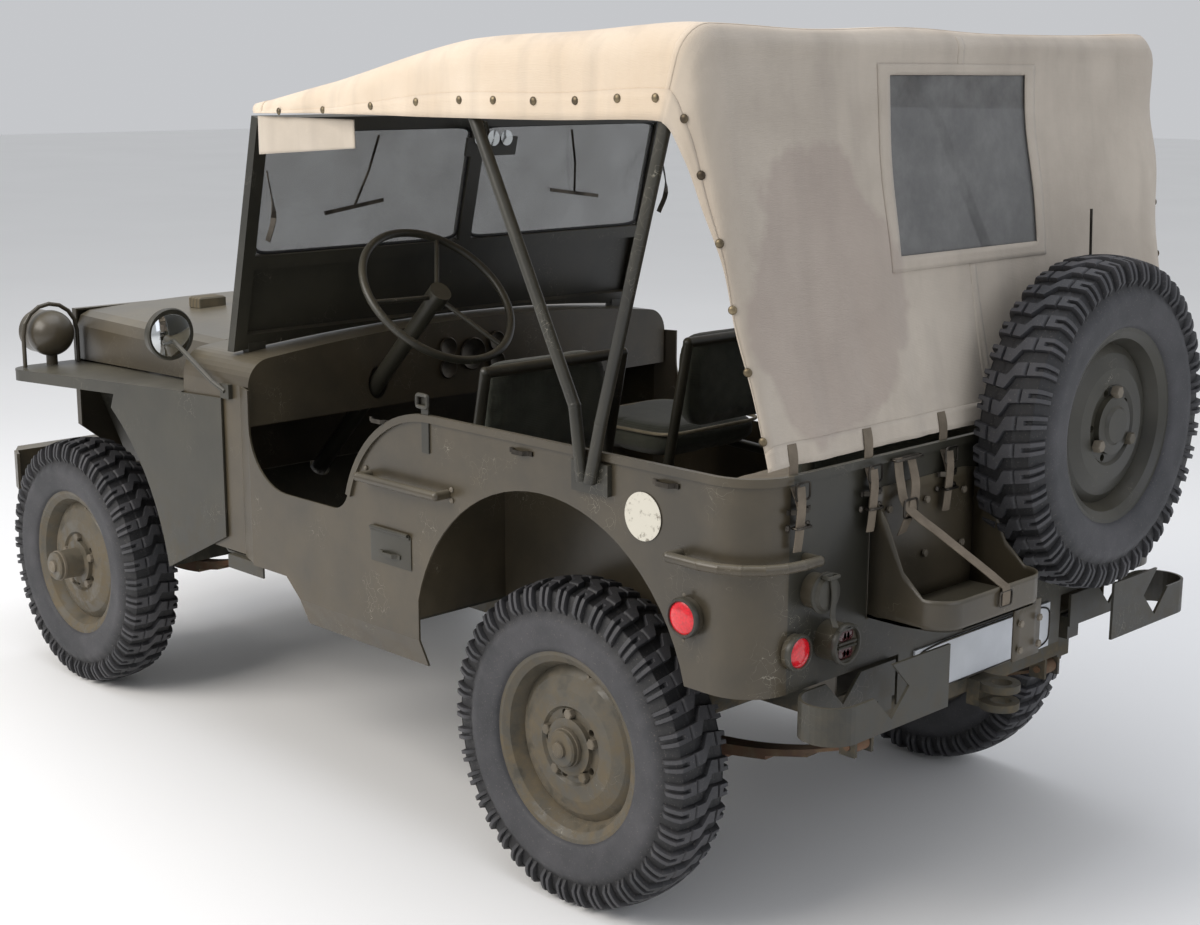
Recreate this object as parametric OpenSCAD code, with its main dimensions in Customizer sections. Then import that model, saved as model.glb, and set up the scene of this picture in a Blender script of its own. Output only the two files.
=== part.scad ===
// Open army 4x4 car with a canvas top. X runs forward, Y to the left, Z up.
// Modules place their parts with X counted from the rear axle, then centred() moves them
// so that the origin lies on the ground under the middle of the whole car.

/* [Running gear] */
// Distance between the two axles
wheelbase = 2032; // [1900:1:2450]
// Distance between the middles of the left and right tyres
track = 1246; // [1200:1:1300]
// Outside diameter of a tyre
tyre_d = 704; // [580:1:850]
// Width of a tyre across its side walls
tyre_w = 156; // [130:1:170]
// Diameter of the rim seat, inside the tyre
rim_d = 406; // [340:1:430]

/* [Chassis] */
// Width over the two chassis rails
rails_w = 742; // [700:1:760]
// Height of a chassis rail
rail_h = 100; // [80:1:120]
// Width of a rail's flanges
rail_w = 46; // [40:1:60]
// Length of the front bumper
bumper_w = 1240; // [1100:1:1500]

/* [Tub] */
// Width over the side panels
body_w = 1500; // [1440:1:1820]
// Height of the side panels above the floor
tub_h = 464; // [380:1:560]
// Distance from the rear axle to the tail panel
tail = 560; // [520:1:680]
// Thickness of every body sheet
sheet = 5; // [3:1:8]
// Radius of the rear wheel arch
arch_r = 408; // [380:1:420]
// Radius of the rounded rear corners
corner_r = 100; // [60:1:120]
// Width of the rolled lip along the rim
lip = 7; // [5:1:10]

/* [Hood and cowl] */
// Width of the hood at the grille
hood_front_w = 1030; // [900:1:1060]
// Width of the hood at the cowl
hood_rear_w = 1270; // [1100:1:1290]
// Depth of the hood's sides
hood_side = 110; // [80:1:130]
// Width of the front fenders, from the hood's edge to the outside
fender_w = 230; // [200:1:260]

/* [Windscreen] */
// Width of the windscreen frame
screen_w = 1390; // [1200:1:1400]
// Height of the windscreen frame, measured along its slope
screen_h = 574; // [480:1:690]
// Backward lean of the windscreen from upright
screen_tilt = 13.6; // [5:0.1:20]
// Thickness of the window panes
glass_t = 5; // [4:1:6]

/* [Canvas top] */
// How far the top stands out past the side panels
top_lap = 40; // [30:1:60]
// Height of the rear bow's crown above the rim of the tub
top_h = 795; // [650:1:900]
// Thickness of the canvas with its hems
canvas_t = 5; // [3:1:8]
// Diameter of the bow tube
bow_d = 25; // [20:1:32]

/* [Seats and wheel] */
// Width of a front seat
seat_w = 430; // [380:1:520]
// Diameter of the steering wheel over its rim
steer_d = 420; // [360:1:460]
// Climb of the steering column from level
column_angle = 45; // [40:1:50]

/* [Hidden] */

top_w = body_w + 2 * top_lap;
$fn = 48;

// Clearances: between seated pieces, between moving pieces, and at pins
seat = 0.3;
gap = 6;
pin_gap = 0.5;

// Stations along the car, from the rear axle
front_x = wheelbase;
cowl_x = front_x - 1004;
dash_x = cowl_x + 30;
firewall_x = front_x - 690;
grille_x = front_x + 222;
bumper_front_x = front_x + 545;
bumper_depth = 62;
spare_gap = 14;
can_depth = 185;
spare_x = -tail - spare_gap - tyre_w / 2;
mid_x = (bumper_front_x - tail - can_depth) / 2;

// Heights above the ground
axle_z = tyre_d / 2;
rail_z = axle_z + 96;
rail_top = rail_z + rail_h;
rail_rise = 30;
mount_h = 8;
floor_z = rail_top + mount_h;
floor_top = floor_z + sheet;
tub_z = floor_z + tub_h;
tail_z = floor_z + 46;
sill_z = floor_z - 46;
sill_drop = 65;
arch_z = axle_z + 148;
arch_end = asin((tail_z - arch_z) / arch_r);
house_top = arch_z + arch_r + 14;

// Half widths
body_y = body_w / 2;
rail_y = rails_w / 2;
house_y = track / 2 - tyre_w / 2 - 50;
cowl_y = body_y - 23;
fender_y = body_y - 15;
bow_y = top_w / 2 - canvas_t - 2 - bow_d / 2;

// Door opening
door_z = floor_z + 201;
door_r = 144;
rim_r = 305;
rim_x = 348;
foot_r = 60;
foot_z = door_z + foot_r;
foot_dx = sqrt(pow(rim_r + foot_r, 2) - pow(foot_z - tub_z + rim_r, 2));
foot_a = asin((foot_z - tub_z + rim_r) / (rim_r + foot_r));

// Cowl and hood
shoulder_r = 67;
shoulder_z = tub_z - 35;
cowl_top = tub_z + 70;
crown = 38;
fender_front_z = floor_z + 334;
fender_rear_z = tub_z - 72;
fender_tip_x = grille_x + 30;
fender_tail_x = firewall_x - 90;
skirt_r = 605;
hood_rear_x = firewall_x + gap;
hood_front_x = grille_x - gap;
hinge_z = cowl_top + 8;
hinge_x = firewall_x + 3;
hinge_r = 8;
hinge_half = 60;
fender_lamp_y = hood_front_w / 2 + 100;
fender_lamp_x = fender_tip_x - 60;
fender_lamp_foot = fender_z(fender_lamp_x) + seat;
headlamp_r = 84;

// Windscreen foot, and a point at height s along its slope
screen_x = dash_x + 102;
screen_z = cowl_top - crown + 12;
screen_t = 26;
screen_rail = 34;
screen_panel = 235;
post_w = 40;
screen_top_x = screen_x - screen_h * sin(screen_tilt);
screen_top_z = screen_z + screen_h * cos(screen_tilt);

// Canvas and bows
top_z = tub_z + top_h;
front_bow_x = 205;
rear_bow_x = -410;
front_crown_z = top_z - 20;
valance_z = screen_top_z + 6;
top_front_x = screen_top_x - 10;
curtain_z = tub_z + lip + 6;
curtain_x = -tail - 2;
curtain_y = body_y - 50;
window_w = 485;
window_h = 330;

// Steering
kingpin_y = track / 2 - 93;
arm_l = 165;
tie_rod_d = 22;
pin_r = 9;
ear_r = 22;
ear_z = 60;
ear_t = 16;
spindle_r = 22;
plate_y = kingpin_y + 32;
plate_r = 140;
hub_x = firewall_x - 528;
hub_y = 335;
hub_z = floor_z + 642;
column_l = (hub_z - rail_top - 50) / sin(column_angle);

// Axles and springs
axle_tube_r = 38;
diff_y = -200;
diff_r = 110;
spring_y = rail_y - rail_w / 2;
spring_w = 44;
leaf_t = 8;
leaf_count = 4;
eye_z = rail_z - 37;
eye_r = 17;
front_spring = 440;
rear_spring = 500;
saddle_z = axle_z - axle_tube_r;

// Spare wheel
spare_y = 122 - tyre_d / 2;
spare_z = floor_z + 107 + tyre_d / 2;

// ---- Shapes that repeat ----

// Points on an arc about (cx, cz), from angle a0 to a1, in n steps
function arc(cx, cz, r, a0, a1, n = 12) =
    [for (i = [0 : n]) let (a = a0 + (a1 - a0) * i / n) [cx + r * cos(a), cz + r * sin(a)]];

module centred() {
    translate([-mid_x, 0, 0]) children();
}

// The child and its copy on the other side of the car
module both_sides() {
    children();
    mirror([0, 1, 0]) children();
}

// A side-view outline, drawn in X and Z, made solid from y0 to y1
module across(y0, y1) {
    translate([0, y1, 0]) rotate([90, 0, 0]) linear_extrude(height = y1 - y0) children();
}

// A front-view outline, drawn in Y and Z, made solid from x0 to x1
module along(x0, x1) {
    translate([x0, 0, 0]) rotate([90, 0, 90]) linear_extrude(height = x1 - x0) children();
}

module box(low, high) {
    translate(low) cube(high - low);
}

// A round bar from point a to point b
module rod(a, b, d) {
    v = b - a;
    translate(a) rotate([0, acos(v[2] / norm(v)), atan2(v[1], v[0])]) cylinder(h = norm(v), d = d);
}

// A round bar through several points, with a ball at each bend
module bent_rod(points, d) {
    for (i = [0 : len(points) - 2]) rod(points[i], points[i + 1], d);
    for (i = [1 : len(points) - 2]) translate(points[i]) sphere(d = d * 1.04);
}

// A round bar bent in a level plane, with a ball at each bend turned towards the outside of the bend
module level_rod(points, d) {
    for (i = [0 : len(points) - 2]) rod(points[i], points[i + 1], d);
    for (i = [1 : len(points) - 2]) {
        back = points[i - 1] - points[i];
        ahead = points[i + 1] - points[i];
        out = -back / norm(back) - ahead / norm(ahead);
        translate(points[i]) rotate([0, 0, atan2(out[1], out[0])]) sphere(d = d * 1.04);
    }
}

// A round bar about an axis that runs along Y, from y0 to y1
module disc_y(x, z, y0, y1, r) {
    translate([x, y1, z]) rotate([90, 0, 0]) cylinder(h = y1 - y0, r = r);
}

// The line of the steering column, as a bar of the given diameter
module column_line(from, to, d) {
    translate([hub_x, hub_y, hub_z]) rotate([0, 90 + column_angle, 0])
        translate([0, 0, from]) cylinder(h = to - from, d = d);
}

// ---- Chassis ----

function rail_line(z) = [[-tail + 15, z], [front_x - 420, z], [front_x - 260, z + rail_rise],
    [bumper_front_x - bumper_depth - seat, z + rail_rise]];
function reversed(list) = [for (i = [len(list) - 1 : -1 : 0]) list[i]];

module frame() {
    web = 6;
    color("#4b4a36") {
        both_sides() difference() {
            across(rail_y - rail_w, rail_y)
                polygon(concat(rail_line(rail_z), reversed(rail_line(rail_top))));
            across(rail_y - rail_w - 1, rail_y - web)
                polygon(concat(rail_line(rail_z + web), reversed(rail_line(rail_top - web))));
        }
        for (x = [-tail + 15, 200, 480, front_x + 138])
            translate([x, -rail_y + web, (x > front_x ? rail_rise : 0) + rail_z + web])
                cube([60, rails_w - 2 * web, rail_h - 2 * web]);
        both_sides() {
            for (x = [-380, 150, 700, 1100])
                box([x, rail_y - rail_w, rail_top], [x + 70, rail_y, floor_z]);
            for (spring = [[0, rear_spring], [front_x, front_spring]])
                for (end = [-1, 1])
                    spring_hanger(spring[0] + end * spring[1]);
        }
        tow_hook();
    }
}

// Bracket under the rail that holds a spring eye from both sides
module spring_hanger(x) {
    for (y = [spring_y - spring_w / 2 - 9, spring_y + spring_w / 2 + 1])
        difference() {
            box([x - 20, y, eye_z - 20], [x + 20, y + 8, rail_z + (x > front_x - 260 ? rail_rise : 1)]);
            disc_y(x, eye_z, y - 1, y + 9, 8 + pin_gap);
        }
}

module tow_hook() {
    x = -tail + 15;
    difference() {
        union() {
            box([x - 62, -30, rail_z - 20], [x, 30, rail_z + 36]);
            translate([x - 62, 0, rail_z - 20]) cylinder(h = 56, r = 42);
        }
        translate([x - 66, 0, rail_z - 21]) cylinder(h = 58, r = 22);
        box([x - 120, -60, rail_z - 4], [x - 30, 60, rail_z + 20]);
    }
}

module front_bumper() {
    x0 = bumper_front_x - bumper_depth;
    half = bumper_w / 2;
    z0 = rail_z + rail_rise + 2;
    color("#575440") {
        translate([0, 0, z0]) linear_extrude(height = 112)
            polygon([[x0, -half + 20], [x0 + 8, -half + 20], [x0 + 8, half - 20], [x0, half - 20]]);
        both_sides() translate([0, 0, z0]) linear_extrude(height = 112)
            polygon([[x0, half - 28], [x0 - 50, half - 8], [x0 - 47, half], [x0 + 8, half - 20]]);
        for (z = [z0, z0 + 104])
            translate([0, 0, z]) linear_extrude(height = 8)
                polygon([[x0, -half + 20], [bumper_front_x, -half + 60], [bumper_front_x, half - 60],
                    [x0, half - 20]]);
        box([bumper_front_x - 8, -half + 60, z0], [bumper_front_x, half - 60, z0 + 112]);
    }
}

// Guard plates at the tail, rolled round at their outer ends and raised at their inner ends
module rear_bumperettes() {
    t = 6;
    r = 60;
    x = -tail - 66;
    y_in = 306;
    y_out = 600;
    z0 = rail_z + 78;
    color("#4f4d38") both_sides() {
        difference() {
            translate([0, 0, z0]) linear_extrude(height = 128)
                polygon(concat([[x - r, y_in]], arc(x, y_out, r, 180, 0, 16), [[x + r, rail_y - rail_w]],
                    [[x + r - t, rail_y - rail_w]], reversed(arc(x, y_out, r - t, 180, 0, 16)), [[x - r + t, y_in]]));
            box([x - r - 1, y_out - 110, z0 + 74], [x + r + 1, y_out + r + 1, z0 + 129]);
            box([x - r + t + 1, 0, z0 + 74], [x + r + 1, y_out, z0 + 129]);
            translate([0, y_out - 110, z0 + 74]) rotate([45, 0, 0])
                box([x - r - 1, -38, -38], [x + r + 1, 38, 38]);
        }
        box([-tail - 1 - t + seat, rail_y - rail_w + 1, z0 - 30], [-tail + 15 - seat, rail_y, z0 + 20]);
    }
}

module engine() {
    color("#3f443c") {
        box([firewall_x + 22, -165, rail_z - 30], [front_x - 160, 165, floor_z + 190]);
        box([firewall_x + 60, -95, floor_z + 190], [front_x - 200, 95, floor_z + 310]);
        box([firewall_x - 60, -150, rail_z - 10], [firewall_x + 22, 150, floor_z + 70]);
        box([firewall_x - 260, -105, rail_z], [firewall_x - 60, 105, floor_z - 12]);
        box([firewall_x - 430, -290, rail_z - 26], [firewall_x - 260, 80, floor_z - 12]);
        translate([front_x - 160, 0, floor_z + 150]) rotate([0, 90, 0]) cylinder(h = 60, r = 60);
        // Cross bar on which the power unit rests
        for (x = [firewall_x - 425, front_x - 260])
            both_sides() box([x, 0, rail_z + 8], [x + 40, rail_y - 8, rail_z + 30]);
    }
}

module radiator() {
    color("#3c4036") difference() {
        box([grille_x - 78, -245, rail_top + rail_rise - 6 + seat], [grille_x - 22, 245, floor_z + 400]);
        box([grille_x - 30, -225, floor_z + 60], [grille_x - 21, 225, floor_z + 370]);
    }
}

module exhaust() {
    z = rail_z + 22;
    y = -rail_y - 75;
    color("#6a4f3c") {
        rod([560, y, z], [1080, y, z], 118);
        bent_rod([[1070, y, z], [1180, y, z], [1300, -rail_y - 60, z + 20]], 40);
        bent_rod([[570, y, z], [500, y, z], [430, -body_y + 40, z - 10]], 40);
        box([600, -rail_y - 20, z - 8], [640, -rail_y - seat, z + 8]);
    }
}

module propeller_shafts() {
    z0 = rail_z + 34;
    color("#35372d") {
        rod([firewall_x - 435, diff_y, z0], [diff_r + 20.8, diff_y, axle_z + 20], 46);
        rod([firewall_x - 255, diff_y, z0], [front_x - diff_r - 20.8, diff_y, axle_z + 20], 46);
    }
}

// A stack of curved leaves, each shorter than the one above it
function leaf_angle(half, r, i) = asin(half * (1 - 0.22 * i) / (r + i * leaf_t));
function leaf_pack(half, r, zc) = concat(
    arc(0, zc, r, -90 - leaf_angle(half, r, 0), -90 + leaf_angle(half, r, 0), 24),
    [for (i = [0 : leaf_count - 1]) each
        [let (a = -90 + leaf_angle(half, r, i))
             [(r + (i + 1) * leaf_t) * cos(a), zc + (r + (i + 1) * leaf_t) * sin(a)],
         let (a = -90 + leaf_angle(half, r, min(i + 1, leaf_count - 1)))
             [(r + (i + 1) * leaf_t) * cos(a), zc + (r + (i + 1) * leaf_t) * sin(a)]]],
    arc(0, zc, r + leaf_count * leaf_t, -90 + leaf_angle(half, r, leaf_count - 1),
        -90 - leaf_angle(half, r, leaf_count - 1), 12),
    [for (i = [leaf_count - 1 : -1 : 0]) each
        [let (a = -90 - leaf_angle(half, r, min(i + 1, leaf_count - 1)))
             [(r + (i + 1) * leaf_t) * cos(a), zc + (r + (i + 1) * leaf_t) * sin(a)],
         let (a = -90 - leaf_angle(half, r, i))
             [(r + (i + 1) * leaf_t) * cos(a), zc + (r + (i + 1) * leaf_t) * sin(a)]]]);

module leaf_spring(x, half) {
    rise = eye_z - saddle_z;
    r = (half * half + rise * rise) / (2 * rise);
    translate([x, 0, 0]) {
        across(spring_y - spring_w / 2, spring_y + spring_w / 2)
            polygon(leaf_pack(half, r, saddle_z + r));
        for (end = [-1, 1]) {
            disc_y(end * half, eye_z, spring_y - spring_w / 2, spring_y + spring_w / 2, eye_r);
            disc_y(end * half, eye_z, spring_y - spring_w / 2 - 12, spring_y + spring_w / 2 + 12, 8);
        }
    }
}

module leaf_springs() {
    color("#38372e") both_sides() {
        leaf_spring(0, rear_spring);
        leaf_spring(front_x, front_spring);
    }
}

// Tube, gear housing and spring saddles that both axles share
module axle_beam(x, tube_y, face) {
    rod([x, -tube_y, axle_z], [x, tube_y, axle_z], 2 * axle_tube_r);
    translate([x, diff_y, axle_z]) sphere(r = diff_r);
    translate([x, diff_y, axle_z]) rotate([0, -90 * face, 0]) cylinder(h = diff_r + 18, r = 70);
    rod([x, diff_y, axle_z], [x + face * (diff_r + 20), diff_y, axle_z + 20], 80);
    both_sides() box([x - 32, spring_y - 26, saddle_z + 0.6], [x + 32, spring_y + 26, axle_z]);
}

module front_axle() {
    color("#3f4033") {
        axle_beam(front_x, kingpin_y - 50, -1);
        both_sides() difference() {
            union() {
                box([front_x - 22, kingpin_y - 62, axle_z - ear_z - ear_t - 2],
                    [front_x + 22, kingpin_y - 46, axle_z + ear_z + ear_t + 2]);
                for (z = [axle_z - ear_z - ear_t - 2, axle_z + ear_z + 2]) {
                    box([front_x - ear_r, kingpin_y - 62, z], [front_x + ear_r, kingpin_y, z + ear_t]);
                    translate([front_x, kingpin_y, z]) cylinder(h = ear_t, r = ear_r);
                }
            }
            translate([front_x, kingpin_y, axle_z - 100]) cylinder(h = 200, r = 12 + pin_gap);
        }
    }
}

module rear_axle() {
    color("#3f4033") {
        axle_beam(0, plate_y, 1);
        both_sides() {
            disc_y(0, axle_z, plate_y, plate_y + 4, plate_r);
            disc_y(0, axle_z, plate_y, track / 2 + 22, spindle_r);
        }
    }
}

module steering_column() {
    color("#4a4835") {
        column_line(28 + seat, column_l, 42);
        box([hub_x + column_l * cos(column_angle) - 50, rail_y - rail_w - 40, rail_top + seat],
            [hub_x + column_l * cos(column_angle) + 60, rail_y - 12, rail_top + 92]);
    }
}

// ---- Tub ----

module floor_pan() {
    color("#55523c") difference() {
        union() {
            across(-house_y, house_y)
                polygon([[-tail + sheet, floor_z], [arch_r - 13, floor_z], [arch_r - 13, floor_top],
                    [-tail + sheet, floor_top]]);
            across(-body_y + sheet, body_y - sheet)
                polygon([[arch_r - 13, floor_z], [cowl_x, floor_z], [cowl_x, floor_top], [arch_r - 13, floor_top]]);
            across(-cowl_y + sheet, cowl_y - sheet)
                polygon([[cowl_x, floor_z], [firewall_x - 162, floor_z], [firewall_x - sheet, floor_z + 144],
                    [firewall_x - sheet, floor_z + 151], [firewall_x - 165, floor_top], [cowl_x, floor_top]]);
            both_sides() side_step();
        }
        column_line(0, column_l + 100, 56);
    }
}

// Foot plate below the door opening, with a turned-down edge
module side_step() {
    box([cowl_x - 18, body_y - 150, floor_z - 5], [fender_tail_x - 92, body_y - 15, floor_z]);
    box([cowl_x - 18, body_y - 20, floor_z - 34], [fender_tail_x - 92, body_y - 15, floor_z]);
}

function rim_line() = concat(
    arc(rim_x, tub_z - rim_r, rim_r, 90, foot_a, 16),
    arc(rim_x + foot_dx, foot_z, foot_r, 180 + foot_a, 270, 8),
    arc(cowl_x - door_r, door_z + door_r, door_r, 270, 360, 10));

module side_panels() {
    color("#5b573f") both_sides() {
        across(body_y - sheet, body_y)
            polygon(concat(
                [[-tail + corner_r, tail_z], [-tail + corner_r, tub_z]],
                rim_line(),
                [[cowl_x, floor_z], [cowl_x - 137, floor_z], [cowl_x - 190, sill_z], [arch_r - 13, sill_z]],
                arc(0, arch_z, arch_r, arch_end, 180 - arch_end, 28)));
        // Sill strip that slopes inwards below the crease
        along(arch_r - 13, cowl_x - 190)
            polygon([[body_y - sheet, sill_z], [body_y, sill_z], [body_y - 26, sill_z - sill_drop],
                [body_y - 26 - sheet, sill_z - sill_drop]]);
        // Rolled lip along the rim
        across(body_y, body_y + lip)
            polygon(concat([[-tail + corner_r, tub_z - 16], [-tail + corner_r, tub_z]],
                arc(rim_x, tub_z - rim_r, rim_r, 90, foot_a, 16),
                reversed(arc(rim_x, tub_z - rim_r, rim_r - 16, 90, foot_a, 16))));
        // Rounded rear corner
        translate([-tail + corner_r, body_y - corner_r, tail_z])
            rotate([0, 0, 90]) rotate_extrude(angle = 90)
                translate([corner_r - sheet, 0]) square([sheet, tub_z - tail_z]);
        translate([-tail + corner_r, body_y - corner_r, tub_z - 16])
            rotate([0, 0, 90]) rotate_extrude(angle = 90)
                translate([corner_r - 1, 0]) square([lip + 1, 16]);
    }
}

module rear_panel() {
    half = body_y - corner_r;
    color("#5b573f") {
        box([-tail, -half, tail_z], [-tail + sheet, half, tub_z]);
        box([-tail - lip, -half, tub_z - 16], [-tail, half, tub_z]);
        // Skirt below the floor that carries the number plate
        box([-tail + sheet, -300, rail_top + 1], [-tail + 2 * sheet, 300, floor_z - seat]);
        box([-tail, -300, floor_z - 60], [-tail + sheet, 300, tail_z]);
    }
}

// Boxes over the rear wheels that close the tub towards the wheels
module wheel_houses() {
    x1 = arch_r - 13;
    color("#504d38") both_sides() {
        across(house_y - sheet, house_y)
            polygon([[-tail + sheet + seat, floor_top], [x1, floor_top], [x1, house_top],
                [-tail + sheet + seat, house_top]]);
        box([-tail + corner_r, house_y, house_top - sheet], [x1, body_y - sheet - seat, house_top]);
        box([-tail + sheet + seat, house_y, house_top - sheet],
            [-tail + corner_r, body_y - corner_r, house_top]);
        box([x1, house_y - sheet, floor_top], [x1 + sheet, body_y - sheet - seat, house_top]);
    }
}

function cowl_section(y, z0, inset) = concat(
    [[y - inset, z0], [y - inset, shoulder_z]],
    arc(y - shoulder_r, shoulder_z, shoulder_r - inset, 0, 84, 8),
    [for (i = [1 : 15]) let (t = 1 - i / 8) [(y - shoulder_r) * t, cowl_top - inset - crown * t * t]],
    reversed([for (p = arc(y - shoulder_r, shoulder_z, shoulder_r - inset, 0, 84, 8)) [-p[0], p[1]]]),
    [[-(y - inset), shoulder_z], [-(y - inset), z0]]);

module cowl() {
    flare = 66;
    color("#5b573f") {
        difference() {
            along(cowl_x + flare, firewall_x) polygon(cowl_section(cowl_y, floor_z + 2 * sheet, 0));
            along(cowl_x - 1, firewall_x - sheet) polygon(cowl_section(cowl_y, floor_z - 1, sheet));
            translate([0, 0, floor_z]) floor_slot();
        }
        // Hood hinge: its middle knuckle and the pin
        disc_y(hinge_x, hinge_z, -hinge_half, hinge_half, hinge_r);
        disc_y(hinge_x, hinge_z, -hinge_half - 90, hinge_half + 90, 4);
        box([firewall_x - 60, -hinge_half, cowl_top - 6], [hinge_x, hinge_half, hinge_z]);
        // Sides that flare out to the width of the side panels
        both_sides() translate([0, 0, floor_top + seat]) linear_extrude(height = shoulder_z - floor_top - seat)
            polygon([[cowl_x, body_y - sheet], [cowl_x, body_y], [cowl_x + flare, cowl_y],
                [cowl_x + flare, cowl_y - sheet]]);
        // Instrument panel
        difference() {
            along(dash_x, dash_x + sheet) polygon(cowl_section(cowl_y - sheet / 2, cowl_top - 200, 0));
            column_line(0, 600, 60);
        }
        difference() {
            along(dash_x, cowl_x + flare + 1) polygon(cowl_section(cowl_y, shoulder_z, 0));
            along(dash_x - 1, cowl_x + flare + 2) polygon(cowl_section(cowl_y, shoulder_z - 1, sheet));
        }
    }
}

// The part of the firewall below the toe board stays open
module floor_slot() {
    box([firewall_x - sheet - 1, -cowl_y + sheet, -1], [firewall_x + 1, cowl_y - sheet, 152]);
}

module grille() {
    half = hood_front_w / 2;
    z0 = rail_top + rail_rise + seat;
    z1 = fender_front_z + hood_side + 44;
    lamp_y = half - 118;
    notch = 130;
    color("#5b573f") difference() {
        box([grille_x, -half, z0 + 20], [grille_x + 22, half, z1]);
        box([grille_x - 1, -half + sheet, z0 + 19 + sheet], [grille_x + 22 - sheet, half - sheet, z1 - sheet]);
        for (i = [-4 : 4])
            box([grille_x, i * 62 - 21, z0 + 80], [grille_x + 30, i * 62 + 21, z1 - 60]);
        both_sides() translate([grille_x, lamp_y, z1 - 150]) rotate([0, 90, 0])
            cylinder(h = 30, r = headlamp_r + seat);
        // Lower corners cut away for the turned tyres
        both_sides() along(grille_x - 1, grille_x + 23)
            polygon([[half - notch, z0 + 19], [half + 1, z0 + 19], [half + 1, z0 + notch - 8]]);
    }
    color("#5b573f") {
        box([grille_x - 10, -half + notch + 10, z0], [grille_x + 12, half - notch - 10, z0 + 20 + sheet]);
    }
}

module front_lamps() {
    half = hood_front_w / 2;
    z1 = fender_front_z + hood_side + 44;
    color("#8a8a80") {
        both_sides() translate([grille_x - 50, half - 118, z1 - 150]) rotate([0, 90, 0]) {
            cylinder(h = 78, r = headlamp_r);
            translate([0, 0, -30]) cylinder(h = 31, r1 = 50, r2 = headlamp_r);
        }
        // Driving lamp on the left fender, with its foot and guard hoop
        translate([fender_lamp_x, fender_lamp_y, fender_lamp_foot]) {
            translate([0, 0, 92]) sphere(r = 66);
            translate([0, 0, 1]) cylinder(h = 50, r = 16);
            translate([0, 0, 92]) rotate([0, 90, 0]) cylinder(h = 70, r = 62);
        }
    }
    color("#5b573f")
        bent_rod([for (p = concat([[-84, 1]], arc(0, 92, 84, 180, 0, 8), [[84, 1]]))
            [fender_lamp_x, fender_lamp_y + p[0], fender_lamp_foot + p[1]]], 12);
}

// Height of the fender's top at station x
function fender_z(x) = fender_front_z
    + (fender_rear_z - fender_front_z) * (fender_tip_x - x) / (fender_tip_x - fender_tail_x);

module front_fenders() {
    inner = hood_front_w / 2 - 25;
    edge = 32;
    tail_a = 180 - asin((fender_z(front_x - 340) - axle_z) / skirt_r) - 3;
    low_a = 180 - 11;
    tip_r = 90;
    color("#5b573f") both_sides() {
        difference() {
            across(inner, fender_y)
                polygon([[firewall_x + seat, fender_z(firewall_x) - edge], [fender_tip_x, fender_front_z - edge],
                    [fender_tip_x, fender_front_z], [firewall_x + seat, fender_z(firewall_x)]]);
            across(inner - 1, fender_y - sheet)
                polygon([[firewall_x - 1, fender_z(firewall_x) - edge - 1],
                    [fender_tip_x - sheet, fender_front_z - edge - 1],
                    [fender_tip_x - sheet, fender_front_z - sheet],
                    [firewall_x - 1, fender_z(firewall_x) - sheet]]);
            translate([fender_tip_x - tip_r, fender_y - tip_r, fender_front_z - 100]) difference() {
                cube([tip_r + 1, tip_r + 1, 200]);
                cylinder(h = 200, r = tip_r);
            }
            box([grille_x - seat, inner - 1, fender_front_z - 100],
                [fender_tip_x + 1, hood_front_w / 2 + seat, fender_front_z + 100]);
        }
        // Side skirt behind the wheel, cut round about the axle
        across(fender_y - sheet, fender_y)
            polygon(concat(
                [[fender_tail_x - 86, floor_z + 42], [fender_tail_x - 86, fender_rear_z],
                    [firewall_x + 320, fender_z(firewall_x + 320)]],
                [for (p = arc(front_x, axle_z, skirt_r, 124, 169, 16))
                    if (p[1] < fender_z(p[0])) p]));
        across(fender_y - fender_w + 40, fender_y - sheet)
            polygon(concat(arc(front_x, axle_z, skirt_r, 126, 169, 16),
                reversed(arc(front_x, axle_z, skirt_r + sheet, 126, 169, 16))));
        // Splash apron between fender and rail
        along(front_x - 250, grille_x - 12)
            polygon([[inner, fender_front_z - sheet], [inner + sheet, fender_front_z - sheet],
                [rail_y + 4, rail_top + rail_rise + seat], [rail_y - 30, rail_top + rail_rise + seat],
                [rail_y - 30, rail_top + rail_rise + seat + sheet], [rail_y - 1, rail_top + rail_rise + seat + sheet]]);
    }
}

// ---- Windscreen ----

module on_screen() {
    translate([screen_x, 0, screen_z]) rotate([0, -screen_tilt, 0]) children();
}

module windshield_frame() {
    half = screen_w / 2;
    color("#55523c") {
        difference() {
            on_screen() difference() {
                box([0, -half, -30], [screen_t, half, screen_h]);
                both_sides() box([-1, post_w / 2, screen_panel],
                    [screen_t + 1, half - screen_rail, screen_h - screen_rail]);
                box([-1, -half + screen_rail, screen_rail],
                    [screen_t - sheet, half - screen_rail, screen_panel - screen_rail]);
            }
            // The lower edge follows the crowned cowl
            along(screen_x - 200, screen_x + 200) polygon(cowl_section(cowl_y + 40, floor_z, -4));
        }
        // Feet that stand on the cowl
        difference() {
            both_sides() for (y = [half - 90, 140])
                box([screen_x - 4, y, shoulder_z], [screen_x + 22, y + 50, screen_z + 12]);
            along(screen_x - 200, screen_x + 200) polygon(cowl_section(cowl_y, floor_z, -seat));
        }
    }
}

module windshield_glass() {
    half = screen_w / 2;
    color("#9fb0ad") on_screen() both_sides()
        box([screen_t / 2 - glass_t / 2, post_w / 2 + seat, screen_panel + seat],
            [screen_t / 2 + glass_t / 2, half - screen_rail - seat, screen_h - screen_rail - seat]);
}

// ---- Seats ----

seat_y = 330;
seat_back_x = arch_r + 42;
seat_z = floor_top + 190;
tube_d = 26;

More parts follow.
